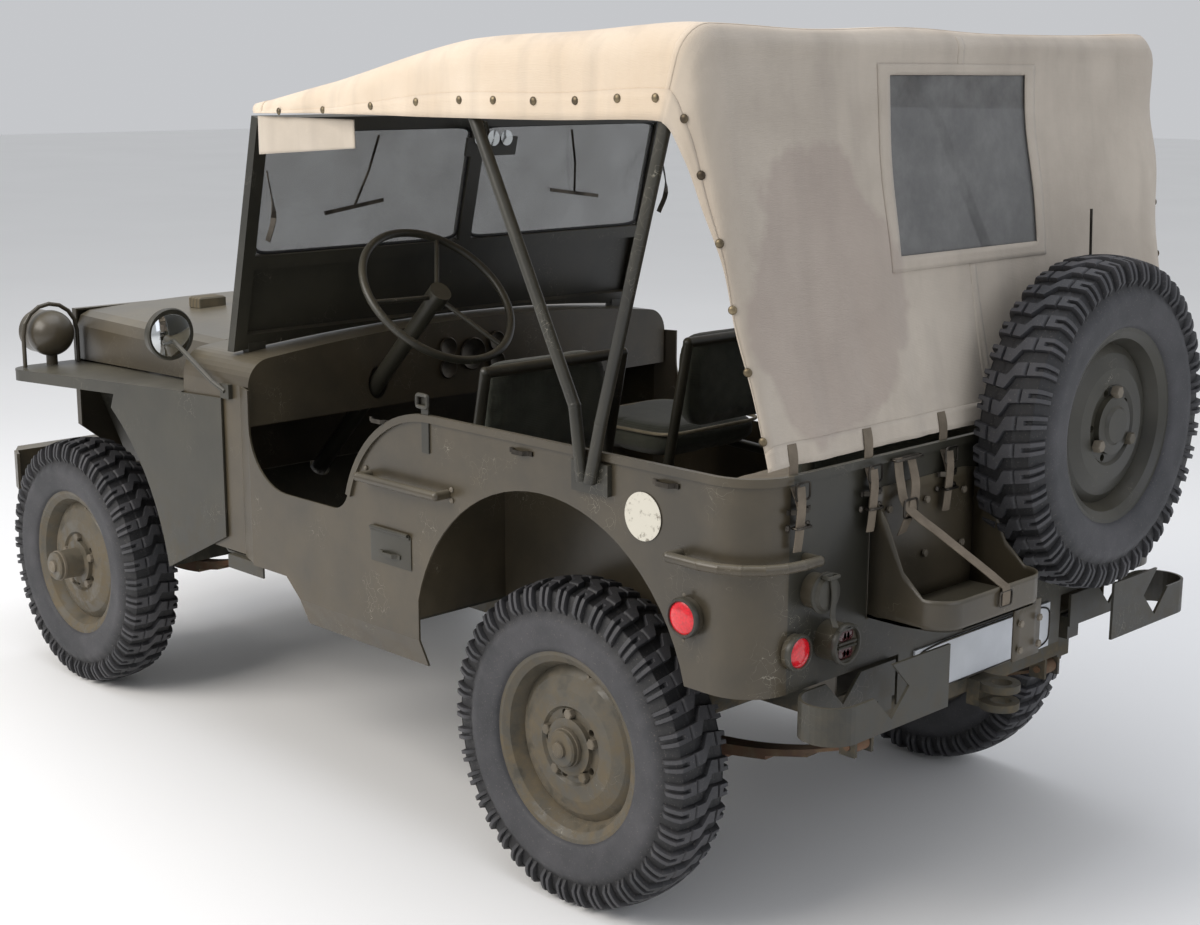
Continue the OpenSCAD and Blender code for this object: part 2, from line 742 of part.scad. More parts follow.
module front_seat_frame(y) {
    half = seat_w / 2;
    for (side = [-1, 1])
        bent_rod([[seat_back_x + 410, y + side * half, floor_top + seat],
            [seat_back_x + 410, y + side * half, seat_z],
            [seat_back_x + 20, y + side * half, seat_z - 20],
            [seat_back_x - 50, y + side * half, seat_z + 330]], tube_d);
    for (side = [-1, 1])
        rod([seat_back_x + 20, y + side * half, floor_top + seat],
            [seat_back_x + 20, y + side * half, seat_z - 20], tube_d);
    rod([seat_back_x - 50, y - half, seat_z + 330], [seat_back_x - 50, y + half, seat_z + 330], tube_d);
    rod([seat_back_x + 410, y - half, seat_z], [seat_back_x + 410, y + half, seat_z], tube_d);
    for (side = [-1, 1]) translate([seat_back_x - 50, y + side * half, seat_z + 330]) sphere(d = tube_d * 1.04);
}

module seat_frames() {
    color("#4d4a35") {
        for (y = [-seat_y, seat_y]) front_seat_frame(y);
        // Rear bench: a tube frame between the wheel houses
        both_sides() {
            rod([-80, 440, floor_top + seat], [-80, 440, seat_z + 44], tube_d);
            rod([-80, 440, seat_z + 44], [-430, 440, seat_z + 30], tube_d);
            rod([-430, 440, floor_top + seat], [-430, 440, seat_z + 300], tube_d);
        }
        rod([-80, -440, seat_z + 44], [-80, 440, seat_z + 44], tube_d);
        rod([-430, -440, seat_z + 300], [-430, 440, seat_z + 300], tube_d);
    }
}

// A cushion with rounded upright edges, from low to high
module pad(low, high, r) {
    size = high - low;
    translate(low) linear_extrude(height = size[2]) {
        translate([r, 0]) square([size[0] - 2 * r, size[1]]);
        translate([0, r]) square([size[0], size[1] - 2 * r]);
        for (x = [r, size[0] - r], y = [r, size[1] - r]) translate([x, y]) circle(r = r);
    }
}

module seat_pads() {
    half = seat_w / 2 - tube_d / 2 - 4;
    color("#8f8467") {
        for (y = [-seat_y, seat_y]) {
            pad([seat_back_x + 36, y - half, seat_z + tube_d / 2 + seat],
                [seat_back_x + 420, y + half, seat_z + 92], 26);
            pad([seat_back_x - 50 + tube_d / 2 + seat, y - half, seat_z + 96],
                [seat_back_x + 26, y + half, seat_z + 350], 20);
        }
        pad([-405, -420, seat_z + 44 + tube_d / 2 + seat], [-60, 420, seat_z + 140], 26);
        pad([-430 + tube_d / 2 + seat, -420, seat_z + 146], [-357, 420, seat_z + 330], 20);
    }
}

// ---- Canvas top ----

// A thin slab across the car at station x, with rounded upper corners
module top_slab(x, half, z0, z1, r) {
    along(x, x + 1) {
        translate([-half, z0]) square([2 * half, z1 - z0 - r]);
        translate([-half + r, z0]) square([2 * half - 2 * r, z1 - z0]);
        for (y = [-half + r, half - r]) translate([y, z1 - r]) circle(r = r, $fn = 32);
    }
}

module top_shape(inset) {
    half = top_w / 2 - inset;
    drop = inset > 0 ? 20 : 0;
    hull() {
        top_slab(top_front_x - inset + 20, screen_w / 2 + 8 - inset, valance_z - drop,
            valance_z + 26 - inset, 12);
        top_slab(front_bow_x, half, valance_z - drop, front_crown_z - inset, 60);
        top_slab(rear_bow_x + inset, half, valance_z - drop, top_z - inset, 60);
    }
    hull() {
        top_slab(rear_bow_x + inset, half, valance_z - drop, top_z - inset, 60);
        top_slab(rear_bow_x + 70, half, valance_z - drop, top_z - inset, 60);
        top_slab(curtain_x + inset, curtain_y - inset, curtain_z - drop, curtain_z + 40, 8);
        top_slab(curtain_x + 16 + 2 * inset, curtain_y - inset, curtain_z - drop, curtain_z + 40, 8);
    }
}

module canvas_top() {
    lean = atan2(rear_bow_x - curtain_x, top_z - curtain_z);
    color("#c09a72") difference() {
        top_shape(0);
        top_shape(canvas_t);
        translate([curtain_x, 0, curtain_z]) rotate([0, lean, 0])
            box([-60, -window_w / 2, 370], [60, window_w / 2, 370 + window_h]);
    }
}

module top_bow(foot, knee, head, crown_z) {
    r = 60;
    y = bow_y;
    both_sides() {
        bent_rod([foot, knee, head, [head[0], y - r, crown_z - bow_d / 2]], bow_d);
    }
    rod([head[0], -y + r, crown_z - bow_d / 2], [head[0], y - r, crown_z - bow_d / 2], bow_d);
    both_sides() translate([head[0], y - r, crown_z - bow_d / 2]) sphere(d = bow_d * 1.04);
}

module top_bows() {
    skin = canvas_t + seat + 0.7;
    color("#7c7a55") {
        top_bow([-140, bow_y, tub_z - 60], [-118, bow_y, tub_z + 85], [front_bow_x, bow_y, front_crown_z - 80],
            front_crown_z - skin);
        top_bow([-160, bow_y, tub_z - 60], [-190, bow_y, tub_z + 60], [rear_bow_x + 34, bow_y, top_z - 80],
            top_z - skin);
        both_sides() {
            box([-200, body_y + seat, tub_z - 84], [-100, body_y + lip + 5, tub_z - 22]);
        }
    }
}

// ---- Wheels ----

// Outline of a tyre's cross section: the widest part lies halfway up the side wall
function tyre_half(w, r_out, r_in) = [[0, r_in], [w * 0.365, r_in], [w * 0.365, r_in + 14],
    [w * 0.44, r_in + 16], [w * 0.49, r_in + 48], [w * 0.5, r_in + 74], [w * 0.49, r_in + 100],
    [w * 0.455, r_out - 22], [w * 0.41, r_out - 6], [w * 0.3, r_out], [0, r_out]];

module tyre() {
    half = tyre_half(tyre_w, tyre_d / 2, rim_d / 2);
    section = concat(half, reversed([for (p = half) [-p[0], p[1]]]));
    color("#33363a") rotate([-90, 0, 0]) rotate_extrude($fn = 96)
        polygon([for (p = section) [p[1], p[0]]]);
}

// Pressed disc wheel with its hub, and a brake drum of depth drum. The outer side faces +Y.
module wheel(hub_l, drum = 52) {
    r = rim_d / 2 - seat;
    w = tyre_w * 0.38;
    color("#5b573f") rotate([-90, 0, 0]) difference() {
        rotate_extrude($fn = 96)
            polygon([[0, -drum], [125, -drum], [132, 2 - drum], [132, 8], [r - 34, 6], [r - 30, -w * 0.4],
                [r - 5, -w], [r + 12, -w - 3], [r + 12, -w + 1], [r, -w + 1], [r - 2, -20], [r - 22, -12], [r - 22, 16],
                [r - 2, 24], [r, w - 1], [r + 12, w - 1], [r + 12, w + 3], [r - 5, w + 1], [r - 20, w - 8],
                [r - 34, 20], [150, 34], [120, 44], [86, 46], [80, 40], [62, 40], [62, 52], [42, 54],
                [40, hub_l - 4], [36, hub_l], [0, hub_l]]);
        translate([0, 0, -60]) cylinder(h = 60 + 24, r = spindle_r + pin_gap);
        for (i = [0 : 4]) rotate([0, 0, i * 72]) translate([71, 0, 20]) cylinder(h = 40, r = 8);
    }
}

module at_wheel(x, side) {
    translate([x, 0, axle_z]) mirror([0, side < 0 ? 1 : 0, 0]) translate([0, track / 2, 0]) children();
}

module knuckle() {
    color("#45442f") {
        box([front_x - 26, kingpin_y - 25, axle_z - ear_z], [front_x + 26, plate_y, axle_z + ear_z]);
        translate([front_x, kingpin_y, axle_z - ear_z - ear_t - 2])
            cylinder(h = 2 * (ear_z + ear_t + 2), r = 12);
        disc_y(front_x, axle_z, plate_y, plate_y + 4, plate_r);
        disc_y(front_x, axle_z, plate_y, track / 2 + 22, spindle_r);
        box([front_x + 20, kingpin_y - 12, axle_z - 10], [front_x + arm_l, kingpin_y + 12, axle_z + 6]);
        translate([front_x + arm_l, kingpin_y, axle_z - 10]) cylinder(h = 16, r = 16);
        translate([front_x + arm_l, kingpin_y, axle_z - 10]) cylinder(h = 44, r = pin_r);
    }
}

module tie_rod() {
    x = front_x + arm_l;
    z = axle_z + 8;
    color("#45442f") difference() {
        union() {
            rod([x, -kingpin_y, z + 12], [x, kingpin_y, z + 12], tie_rod_d);
            for (y = [-kingpin_y, kingpin_y]) translate([x, y, z]) cylinder(h = 24, r = 20);
        }
        for (y = [-kingpin_y, kingpin_y]) translate([x, y, z - 1]) cylinder(h = 26, r = pin_r + pin_gap);
    }
}

module steering_wheel() {
    r = steer_d / 2;
    color("#4a4a38") translate([hub_x, hub_y, hub_z]) rotate([0, column_angle - 90, 0]) {
        rotate_extrude($fn = 96) translate([r - 10, 0]) circle(r = 10, $fn = 24);
        translate([0, 0, -28]) cylinder(h = 44, r = 28);
        for (a = [90, 210, 330]) rotate([0, 0, a]) {
            rod([20, 0, -6], [r - 10, 0, 0], 12);
        }
    }
}

// ---- Hood ----

function hood_section(half, z0, side, rise, inset) = concat(
    [[half - inset, z0], [half - inset, z0 + side - 40 - inset],
        [half - 12 - inset, z0 + side - 12 - inset]],
    [for (i = [0 : 12]) let (t = 1 - i / 6) [(half - 40) * t, z0 + side + rise * (1 - t * t) - inset]],
    [[-half + 12 + inset, z0 + side - 12 - inset], [-half + inset, z0 + side - 40 - inset],
        [-half + inset, z0]]);

module hood_body(inset) {
    drop = inset > 0 ? 30 : 0;
    front_z = fender_z(hood_front_x) + gap - drop;
    rear_z = fender_z(hood_rear_x) + gap - drop;
    hull() {
        along(hood_rear_x + (inset > 0 ? -1 : 0), hood_rear_x + 1)
            polygon(hood_section(hood_rear_w / 2, rear_z, hood_side + drop, 24, inset));
        along(hood_front_x - 1, hood_front_x + (inset > 0 ? 1 : 0))
            polygon(hood_section(hood_front_w / 2, front_z, hood_side + 30 + drop, 14, inset));
    }
}

module hood() {
    color("#5b573f") difference() {
        union() {
            difference() {
                hood_body(0);
                hood_body(sheet);
            }
            // Hinge leaves that reach back over the rear edge
            both_sides() {
                box([hinge_x, hinge_half + seat, hinge_z - 28], [hinge_x + 60, hinge_half + 90, hinge_z]);
                disc_y(hinge_x, hinge_z, hinge_half + seat, hinge_half + 90, hinge_r);
            }
        }
        disc_y(hinge_x, hinge_z, -200, 200, 4 + pin_gap);
        box([hinge_x - 20, -200, hinge_z - 40], [hinge_x + hinge_r - 1, 200, hinge_z - hinge_r + 1]);
    }
}

// ---- Things fixed to the tub ----

module spare_wheel() {
    translate([spare_x, spare_y, spare_z]) rotate([0, 0, 90]) wheel(60, 4);
    // Bracket on the tail panel
    color("#4b4a36") {
        box([-tail - 8, spare_y - 90, spare_z - 200], [-tail - seat, spare_y + 90, tub_z - 24]);
        translate([spare_x + 4 + seat, spare_y, spare_z - 66]) rotate([0, 90, 0])
            cylinder(h = -tail - 8 - spare_x - 4 - seat, r = 50);
    }
}

module can_carrier() {
    x0 = -tail - can_depth;
    x1 = -tail - seat;
    y0 = 62;
    y1 = 412;
    z = floor_z + 150;
    t = 4;
    color("#5b573f") {
        box([x0, y0, z], [x1, y1, z + t]);
        box([x0, y0, z], [x0 + t, y1, z + 60]);
        for (y = [y0, y1 - t]) box([x0, y, z], [x1, y + t, z + 60]);
        box([x1 - t, y0, z], [x1, y1, z + 250]);
    }
}

module rear_lamps() {
    x = -tail - seat;
    color("#4a4835") both_sides() {
        translate([x, body_y - 216, floor_z + 130]) rotate([0, -90, 0]) cylinder(h = 46, r = 38);
    }
    color("#a32a1e") both_sides()
        translate([x, body_y - 116, floor_z + 128]) rotate([0, -90, 0]) cylinder(h = 12, r = 34);
    color("#a32a1e") both_sides()
        disc_y(-tail + 155, floor_z + 186, body_y + seat, body_y + 13, 37);
    // Trailer socket
    color("#4a4835") translate([x, body_y - 168, floor_z + 236]) rotate([0, -90, 0])
        cylinder(h = 30, r = 34);
}

// Bent round bars: one on each rear corner, one on each side behind the door
module grab_handles() {
    d = 20;
    off = 34;
    z = floor_z + 302;
    color("#5b573f") both_sides() {
        level_rod(concat([[-tail + 178, body_y + seat, z], [-tail + 178, body_y + off, z]],
            [for (p = arc(-tail + corner_r, body_y - corner_r, corner_r + off, 90, 180, 5)) [p[0], p[1], z]],
            [[-tail - off, body_y - 145, z], [-tail - seat, body_y - 145, z]]), d);
        level_rod([[290, body_y + seat, z], [290, body_y + off, z], [556, body_y + off, z],
            [556, body_y + seat, z]], d);
    }
}

module mirrors() {
    arm = [cowl_x + 115, cowl_y + 10, floor_z + 412];
    color("#4a4835") {
        box(arm - [18, 10 - seat, 18], arm + [18, 2, 18]);
        bent_rod([arm, [arm[0] + 40, body_y - 4, arm[2] + 20],
            [cowl_x + 335, body_y - 4, floor_z + 520]], 12);
        rod([cowl_x + 335, body_y - 4, floor_z + 529], [cowl_x + 353, body_y - 4, floor_z + 531], 127);
        on_screen() {
            bent_rod([[-46, 0, screen_h - 70], [-16, 0, screen_h - 20], [-seat, 0, screen_h - 20]], 10);
            box([-52, -85, screen_h - 96], [-44, 85, screen_h - 48]);
        }
    }
}

module number_plate() {
    color("#d8d6cc") box([-tail - 5, -250, floor_z - 58], [-tail - seat, 250, floor_z + 42]);
}

module antenna() {
    y = spare_y - 115;
    color("#33332c") {
        box([-tail - 18, y - 12, tub_z - 70], [-tail - seat, y + 12, tub_z - 34]);
        rod([-tail - 12, y, tub_z - 40], [-tail + 8, y, tub_z + 430], 6);
    }
}

// ---- Output ----

centred() frame();
centred() front_bumper();
centred() rear_bumperettes();
centred() engine();
centred() radiator();
centred() exhaust();
centred() propeller_shafts();
centred() leaf_springs();
centred() front_axle();
centred() rear_axle();
centred() steering_column();
centred() floor_pan();  // floor
centred() side_panels();
centred() rear_panel();
centred() wheel_houses();
centred() cowl();
centred() grille();
centred() front_lamps();
centred() front_fenders();
centred() windshield_frame();
centred() windshield_glass();
centred() seat_frames();
centred() seat_pads();
centred() canvas_top();
centred() top_bows();
centred()  // spare_tyre
    translate([spare_x, spare_y, spare_z]) rotate([0, 0, 90]) tyre();
centred() spare_wheel();
centred() can_carrier();
centred() rear_lamps();
centred() grab_handles();
centred() mirrors();
centred() number_plate();
centred() antenna();
centred() hood();
centred() steering_wheel();
centred() knuckle();  // knuckle_left
centred() mirror([0, 1, 0]) knuckle();  // knuckle_right
centred() tie_rod();
centred() at_wheel(front_x, 1) tyre();  // tyre_front_left
centred() at_wheel(front_x, 1) wheel(126);  // wheel_front_left
centred() at_wheel(front_x, -1) tyre();  // tyre_front_right
centred() at_wheel(front_x, -1) wheel(126);  // wheel_front_right
centred() at_wheel(0, 1) tyre();  // tyre_rear_left
centred() at_wheel(0, 1) wheel(76);  // wheel_rear_left
centred() at_wheel(0, -1) tyre();  // tyre_rear_right
centred() at_wheel(0, -1) wheel(76);  // wheel_rear_right
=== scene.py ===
import math
import bpy
import numpy as np
from mathutils import Euler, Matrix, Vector


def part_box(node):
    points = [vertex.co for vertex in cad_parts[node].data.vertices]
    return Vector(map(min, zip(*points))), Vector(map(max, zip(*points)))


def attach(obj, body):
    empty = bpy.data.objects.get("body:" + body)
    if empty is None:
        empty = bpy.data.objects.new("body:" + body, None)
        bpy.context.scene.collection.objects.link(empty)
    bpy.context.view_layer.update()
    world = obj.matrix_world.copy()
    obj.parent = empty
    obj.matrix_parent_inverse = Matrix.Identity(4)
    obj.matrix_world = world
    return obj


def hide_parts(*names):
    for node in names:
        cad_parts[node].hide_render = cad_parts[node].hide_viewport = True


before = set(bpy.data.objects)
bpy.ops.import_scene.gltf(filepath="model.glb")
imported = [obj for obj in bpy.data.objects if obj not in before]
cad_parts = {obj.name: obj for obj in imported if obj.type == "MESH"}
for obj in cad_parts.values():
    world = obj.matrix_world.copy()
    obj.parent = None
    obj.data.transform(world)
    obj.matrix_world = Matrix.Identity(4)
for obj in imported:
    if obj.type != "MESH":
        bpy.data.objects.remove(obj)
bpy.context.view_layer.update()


# ---------------------------------------------------------------- camera
# The car is seen from behind and to its left, a little above its waist,
# by one camera standing about five metres from its middle.
def srgb(code):
    """A hex colour as linear red, green, blue and alpha."""
    c = np.array([int(code[i:i + 2], 16) / 255 for i in (1, 3, 5)])
    linear = np.where(c <= 0.04045, c / 12.92, ((c + 0.055) / 1.055) ** 2.4)
    return (*linear.tolist(), 1.0)


def placed(kind, name, at, yaw, pitch, roll=0.0):
    """An object whose -Z looks along yaw (from +X, anticlockwise) and pitch (above level)."""
    obj = bpy.data.objects.new(name, kind)
    bpy.context.scene.collection.objects.link(obj)
    turn = Euler((math.pi / 2 + pitch, 0, yaw - math.pi / 2)).to_matrix()
    obj.matrix_world = (turn @ Euler((0, 0, roll)).to_matrix()).to_4x4()
    obj.location = at
    return obj


lens = bpy.data.cameras.new("camera")
lens.lens, lens.sensor_width = 55.05, 36
bpy.context.scene.camera = placed(lens, "camera", (-3.539, 3.179, 1.745), -0.780, -0.213, 0.004)


# ---------------------------------------------------------------- studio
# A plain pale floor that runs out to the horizon and large soft lights:
# the strongest comes from the car's left and above, and the tail is in shade.
def link_mesh(name, points, faces):
    """A mesh object at the origin from arrays of points and faces."""
    mesh = bpy.data.meshes.new(name)
    mesh.from_pydata(np.asarray(points, float).reshape(-1, 3).tolist(), [], [list(f) for f in faces])
    mesh.update()
    obj = bpy.data.objects.new(name, mesh)
    bpy.context.scene.collection.objects.link(obj)
    return obj


def add_node(tree, kind, links=(), **values):
    """Adds a node. Values name its settings or input sockets, and links pair an input with an output."""
    node = tree.nodes.new("ShaderNode" + kind)
    for key, value in values.items():
        if hasattr(node, key):
            setattr(node, key, value)
    for key, value in values.items():
        if not hasattr(node, key):
            number = key[1:] if key[0] == "_" and key[1:].isdigit() else None
            socket = node.inputs[int(number)] if number else node.inputs[key.replace("_", " ")]
            socket.default_value = value
    for socket, source in dict(links).items():
        tree.links.new(source, node.inputs[socket])
    return node


def new_material(name):
    """An empty node material and its surface output."""
    material = bpy.data.materials.new(name)
    material.use_nodes = True
    material.node_tree.nodes.clear()
    return material, material.node_tree, add_node(material.node_tree, "OutputMaterial")


def ramp(tree, fac, first, last, start=0.0, end=1.0):
    """A blend of two hex colours, from first at start to last at end."""
    blend = add_node(tree, "ValToRGB", {"Fac": fac})
    for stop, code, at in zip(blend.color_ramp.elements, (first, last), (start, end)):
        stop.position, stop.color = at, srgb(code)
    return blend


floor_paper, tree, out = new_material("studio_paper")
grain = add_node(tree, "TexNoise", Scale=40.0)
tone = ramp(tree, grain.outputs["Fac"], "#efefee", "#f6f6f5")
paper = add_node(tree, "BsdfPrincipled", {"Base Color": tone.outputs[0]}, Roughness=0.9)
tree.links.new(paper.outputs[0], out.inputs[0])
stage_floor = link_mesh("studio_floor", [(-40, -40, 0), (40, -40, 0), (40, 40, 0), (-40, 40, 0)], [(0, 1, 2, 3)])
stage_floor.data.materials.append(floor_paper)

for name, at, yaw, pitch, size, power, colour in (
        ("key_light", (1.5, 5.5, 4.6), -1.75, -0.70, (5.0, 3.5), 330, "#fff9f2"),
        ("top_light", (0.0, 0.0, 6.5), 0.0, -1.57, (6.0, 5.0), 170, "#f3f6ff"),
        ("tail_light", (-6.5, -0.5, 3.0), 0.0, -0.42, (5.0, 3.5), 55, "#eef2ff")):
    lamp = bpy.data.lights.new(name, "AREA")
    lamp.shape, lamp.size, lamp.size_y, lamp.energy = "RECTANGLE", *size, power
    lamp.color = srgb(colour)[:3]
    placed(lamp, name, at, yaw, pitch)
world = bpy.data.worlds.new("studio_air")
bpy.context.scene.world = world
world.use_nodes = True
world.node_tree.nodes["Background"].inputs[0].default_value = srgb("#f4f6fa")
world.node_tree.nodes["Background"].inputs[1].default_value = 0.62
bpy.context.scene.view_settings.view_transform = "Standard"


# ---------------------------------------------------------------- body paint
# Sheet steel sprayed with lustreless olive drab enamel, polished by hands and weather to a satin,
# hair-scratched, chipped along its edges, and lighter on top from dust and a painted sky reflection.
def worn_enamel(name, fresh, faded, dust="#8d8674", rough=0.42, chips=0.5, mud=0.0, dust_and_sky_sheen=0.35):
    """Olive enamel. Patches 0.3 m across fade it, borders of cells 0.18 m across make hairline scratches,
    8 mm specks make chips, dust and a painted sky reflection lighten faces that look up, and mud thins out from 0.25
    to 0.75 m up."""
    material, tree, out = new_material(name)
    where = add_node(tree, "TexCoord").outputs["Object"]
    patch = add_node(tree, "TexNoise", {"Vector": where}, Scale=3.3, Detail=6.0, Roughness=0.62)
    colour = ramp(tree, patch.outputs["Fac"], fresh, faded, 0.36, 0.66)
    bent = add_node(tree, "TexNoise", {"Vector": where}, Scale=14.0, Detail=2.0)
    wavy = add_node(tree, "VectorMath", {0: where, 1: bent.outputs["Color"]}, operation="ADD")
    cells = add_node(tree, "TexVoronoi", {"Vector": wavy.outputs[0]}, feature="DISTANCE_TO_EDGE", Scale=5.5)
    line = add_node(tree, "MapRange", {"Value": cells.outputs["Distance"]}, From_Max=0.007, To_Min=1.0, To_Max=0.0)
    where_scratched = add_node(tree, "TexNoise", {"Vector": where}, Scale=7.0, Detail=3.0)
    some = add_node(tree, "MapRange", {"Value": where_scratched.outputs["Fac"]}, From_Min=0.54, From_Max=0.66)
    scratch = add_node(tree, "Math", {0: line.outputs[0], 1: some.outputs[0]}, operation="MULTIPLY")
    speck = add_node(tree, "TexNoise", {"Vector": where}, Scale=120.0, Detail=3.0, Roughness=0.7)
    chip = add_node(tree, "MapRange", {"Value": speck.outputs["Fac"]}, From_Min=0.70, From_Max=0.73)
    chip = add_node(tree, "Math", {0: chip.outputs[0], 1: some.outputs[0]}, operation="MULTIPLY")
    bare = add_node(tree, "Math", {0: scratch.outputs[0], 1: chip.outputs[0]}, operation="MAXIMUM")
    bare = add_node(tree, "Math", {0: bare.outputs[0]}, operation="MULTIPLY", _1=chips)
    marked = add_node(tree, "Mix", {0: bare.outputs[0], 6: colour.outputs[0]}, data_type="RGBA", _7=srgb("#a29c8c"))
    facing = add_node(tree, "SeparateXYZ", {0: add_node(tree, "NewGeometry").outputs["Normal"]})
    # Faces turned up lighten towards the dust colour: partly real dust, partly a painted sky reflection on tops such
    # as the hood.
    up = add_node(tree, "MapRange", {"Value": facing.outputs["Z"]}, From_Min=0.3, From_Max=1.0, To_Max=dust_and_sky_sheen)
    dust_and_sheen_mask = add_node(tree, "Math", {0: up.outputs[0], 1: patch.outputs["Fac"]}, operation="MULTIPLY")
    dust_and_sheen_colour = add_node(tree, "Mix", {0: dust_and_sheen_mask.outputs[0], 6: marked.outputs[2]}, data_type="RGBA", _7=srgb(dust))
    height = add_node(tree, "SeparateXYZ", {0: where}).outputs["Z"]
    low = add_node(tree, "MapRange", {"Value": height}, From_Min=0.25, From_Max=0.75, To_Min=1.0, To_Max=0.0)
    splash = add_node(tree, "TexNoise", {"Vector": where}, Scale=22.0, Detail=7.0, Roughness=0.7)
    splash = add_node(tree, "MapRange", {"Value": splash.outputs["Fac"]}, From_Min=0.42, From_Max=0.62)
    muddy = add_node(tree, "Math", {0: low.outputs[0], 1: splash.outputs[0]}, operation="MULTIPLY")
    muddy = add_node(tree, "Math", {0: muddy.outputs[0]}, operation="MULTIPLY", _1=mud)
    dirty = add_node(tree, "Mix", {0: muddy.outputs[0], 6: dust_and_sheen_colour.outputs[2]}, data_type="RGBA", _7=srgb("#6a5f4c"))
    gloss = add_node(tree, "MapRange", {"Value": patch.outputs["Fac"]}, To_Min=rough - 0.06, To_Max=rough + 0.12)
    gloss = add_node(tree, "Math", {0: gloss.outputs[0], 1: muddy.outputs[0]}, operation="ADD")
    ripple = add_node(tree, "TexNoise", {"Vector": where}, Scale=16.0, Detail=2.0)
    relief = add_node(tree, "Math", {0: ripple.outputs["Fac"], 1: bare.outputs[0]}, operation="SUBTRACT")
    bump = add_node(tree, "Bump", {"Height": relief.outputs[0]}, Strength=0.25, Distance=0.002)
    shader = add_node(tree, "BsdfPrincipled", {"Base Color": dirty.outputs[2], "Roughness": gloss.outputs[0],
                                               "Normal": bump.outputs[0]}, IOR=1.5)
    tree.links.new(shader.outputs[0], out.inputs[0])
    return material


def finish(material, *nodes):
    """Gives CAD nodes this material in each of their slots."""
    for name in nodes:
        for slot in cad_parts[name].material_slots:
            slot.material = material


olive_drab = worn_enamel("olive_drab_enamel", "#39342a", "#4d4536", rough=0.30, chips=0.8, mud=0.25, dust_and_sky_sheen=0.6)
finish(olive_drab, "side_panels", "cowl", "grille", "hood", "wheel_houses",
       "can_carrier", "grab_handles", "front_bumper", "rear_lamps", "front_lamps")
# A darker copy of the olive enamel, standing in for shade: painted shade on the cabin's fittings, windscreen frame,
# bows, bumperettes, spare wheel, tail panel and front fenders.
shaded_olive_drab = worn_enamel("olive_enamel_painted_shade", "#26251f", "#38362d", rough=0.36, chips=0.7, mud=0.4)
finish(shaded_olive_drab, "floor", "seat_frames", "steering_column", "steering_wheel", "mirrors", "windshield_frame",
       "top_bows",
       "rear_bumperettes", "spare_wheel", "rear_panel", "front_fenders")
chassis_black = worn_enamel("chassis_olive_enamel", "#2e2d27", "#403d33", rough=0.55, chips=0.2, mud=1.0)
finish(chassis_black, "frame", "front_axle", "rear_axle", "knuckle_left", "knuckle_right", "tie_rod",
       "propeller_shafts", "engine", "radiator")
rusty_steel = worn_enamel("rusted_spring_steel", "#4b3a2f", "#76533a", dust="#6b5a48", rough=0.75, chips=0.1,
                          mud=0.9)
finish(rusty_steel, "leaf_springs", "exhaust")
wheel_drab = worn_enamel("wheel_olive_enamel", "#3d3a31", "#5a5448", rough=0.34, chips=0.6, mud=0.8, dust_and_sky_sheen=0.2)
finish(wheel_drab, *("wheel_" + c for c in ("front_left", "front_right", "rear_left", "rear_right")))


# ---------------------------------------------------------------- tyres
# Mud-and-snow tyres 6.00-16 of black rubber gone blue-grey in the weather,
# moulded with cleats that run over the shoulder, on each wheel and the spare.
def surface(grid, wrap_u=False, wrap_v=False, skip=None):
    """Points and quads of a grid of points (rows, columns, 3). A wrapped direction closes on itself,
    and skip(row, column) picks out the quads left open. Faces look along (next row) x (next column)."""
    m, n = grid.shape[:2]
    i, j = np.meshgrid(np.arange(m if wrap_u else m - 1), np.arange(n if wrap_v else n - 1), indexing="ij")
    down, right = (i + 1) % m, (j + 1) % n
    quads = np.stack([i * n + j, down * n + j, down * n + right, i * n + right], -1)
    keep = np.ones(i.shape, bool) if skip is None else ~skip(i, j)
    return grid.reshape(-1, 3), quads[keep].tolist()


def joined(*parts):
    """Several (points, faces) pairs as one."""
    points, faces, start = [], [], 0
    for p, f in parts:
        points.append(np.asarray(p, float).reshape(-1, 3))
        faces += [[i + start for i in face] for face in f]
        start += len(points[-1])
    return np.concatenate(points), faces


def piece(name, part, body, material, sharp=35):
    """A finished object: it rides on a CAD body and takes the material it is given.
    Edges sharper than the angle in degrees stay crisp."""
    obj = link_mesh(name, *part)
    obj.data.materials.append(material)
    obj.data.shade_smooth()
    obj.data.set_sharp_from_angle(angle=math.radians(sharp))
    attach(obj, body)
    return obj


def through(points, n):
    """n points evenly along a smooth line through the given ones: Catmull-Rom, which at each point
    runs parallel to the line between its two neighbours."""
    p = np.asarray(points, float)
    p = np.concatenate([2 * p[:1] - p[1:2], p, 2 * p[-1:] - p[-2:-1]])
    t = np.linspace(0, len(p) - 3 - 1e-9, max(n * 8, 64))
    i, f = t.astype(int), (t % 1)[:, None]
    a, b, c, d = p[i], p[i + 1], p[i + 2], p[i + 3]
    line = 0.5 * (2 * b + (c - a) * f + (2 * a - 5 * b + 4 * c - d) * f ** 2 + (3 * b - a - 3 * c + d) * f ** 3)
    run = np.concatenate([[0], np.cumsum(np.linalg.norm(np.diff(line, axis=0), axis=1))])
    even = np.linspace(0, run[-1], n)
    return np.stack([np.interp(even, run, line[:, k]) for k in range(p.shape[1])], 1)


rubber, tree, out = new_material("weathered_tyre_rubber")
where = add_node(tree, "TexCoord").outputs["Object"]
bloom = add_node(tree, "TexNoise", {"Vector": where}, Scale=6.0, Detail=8.0, Roughness=0.65)   # dust patches
shade = ramp(tree, bloom.outputs["Fac"], "#2c2d30", "#48474a", 0.35, 0.72)
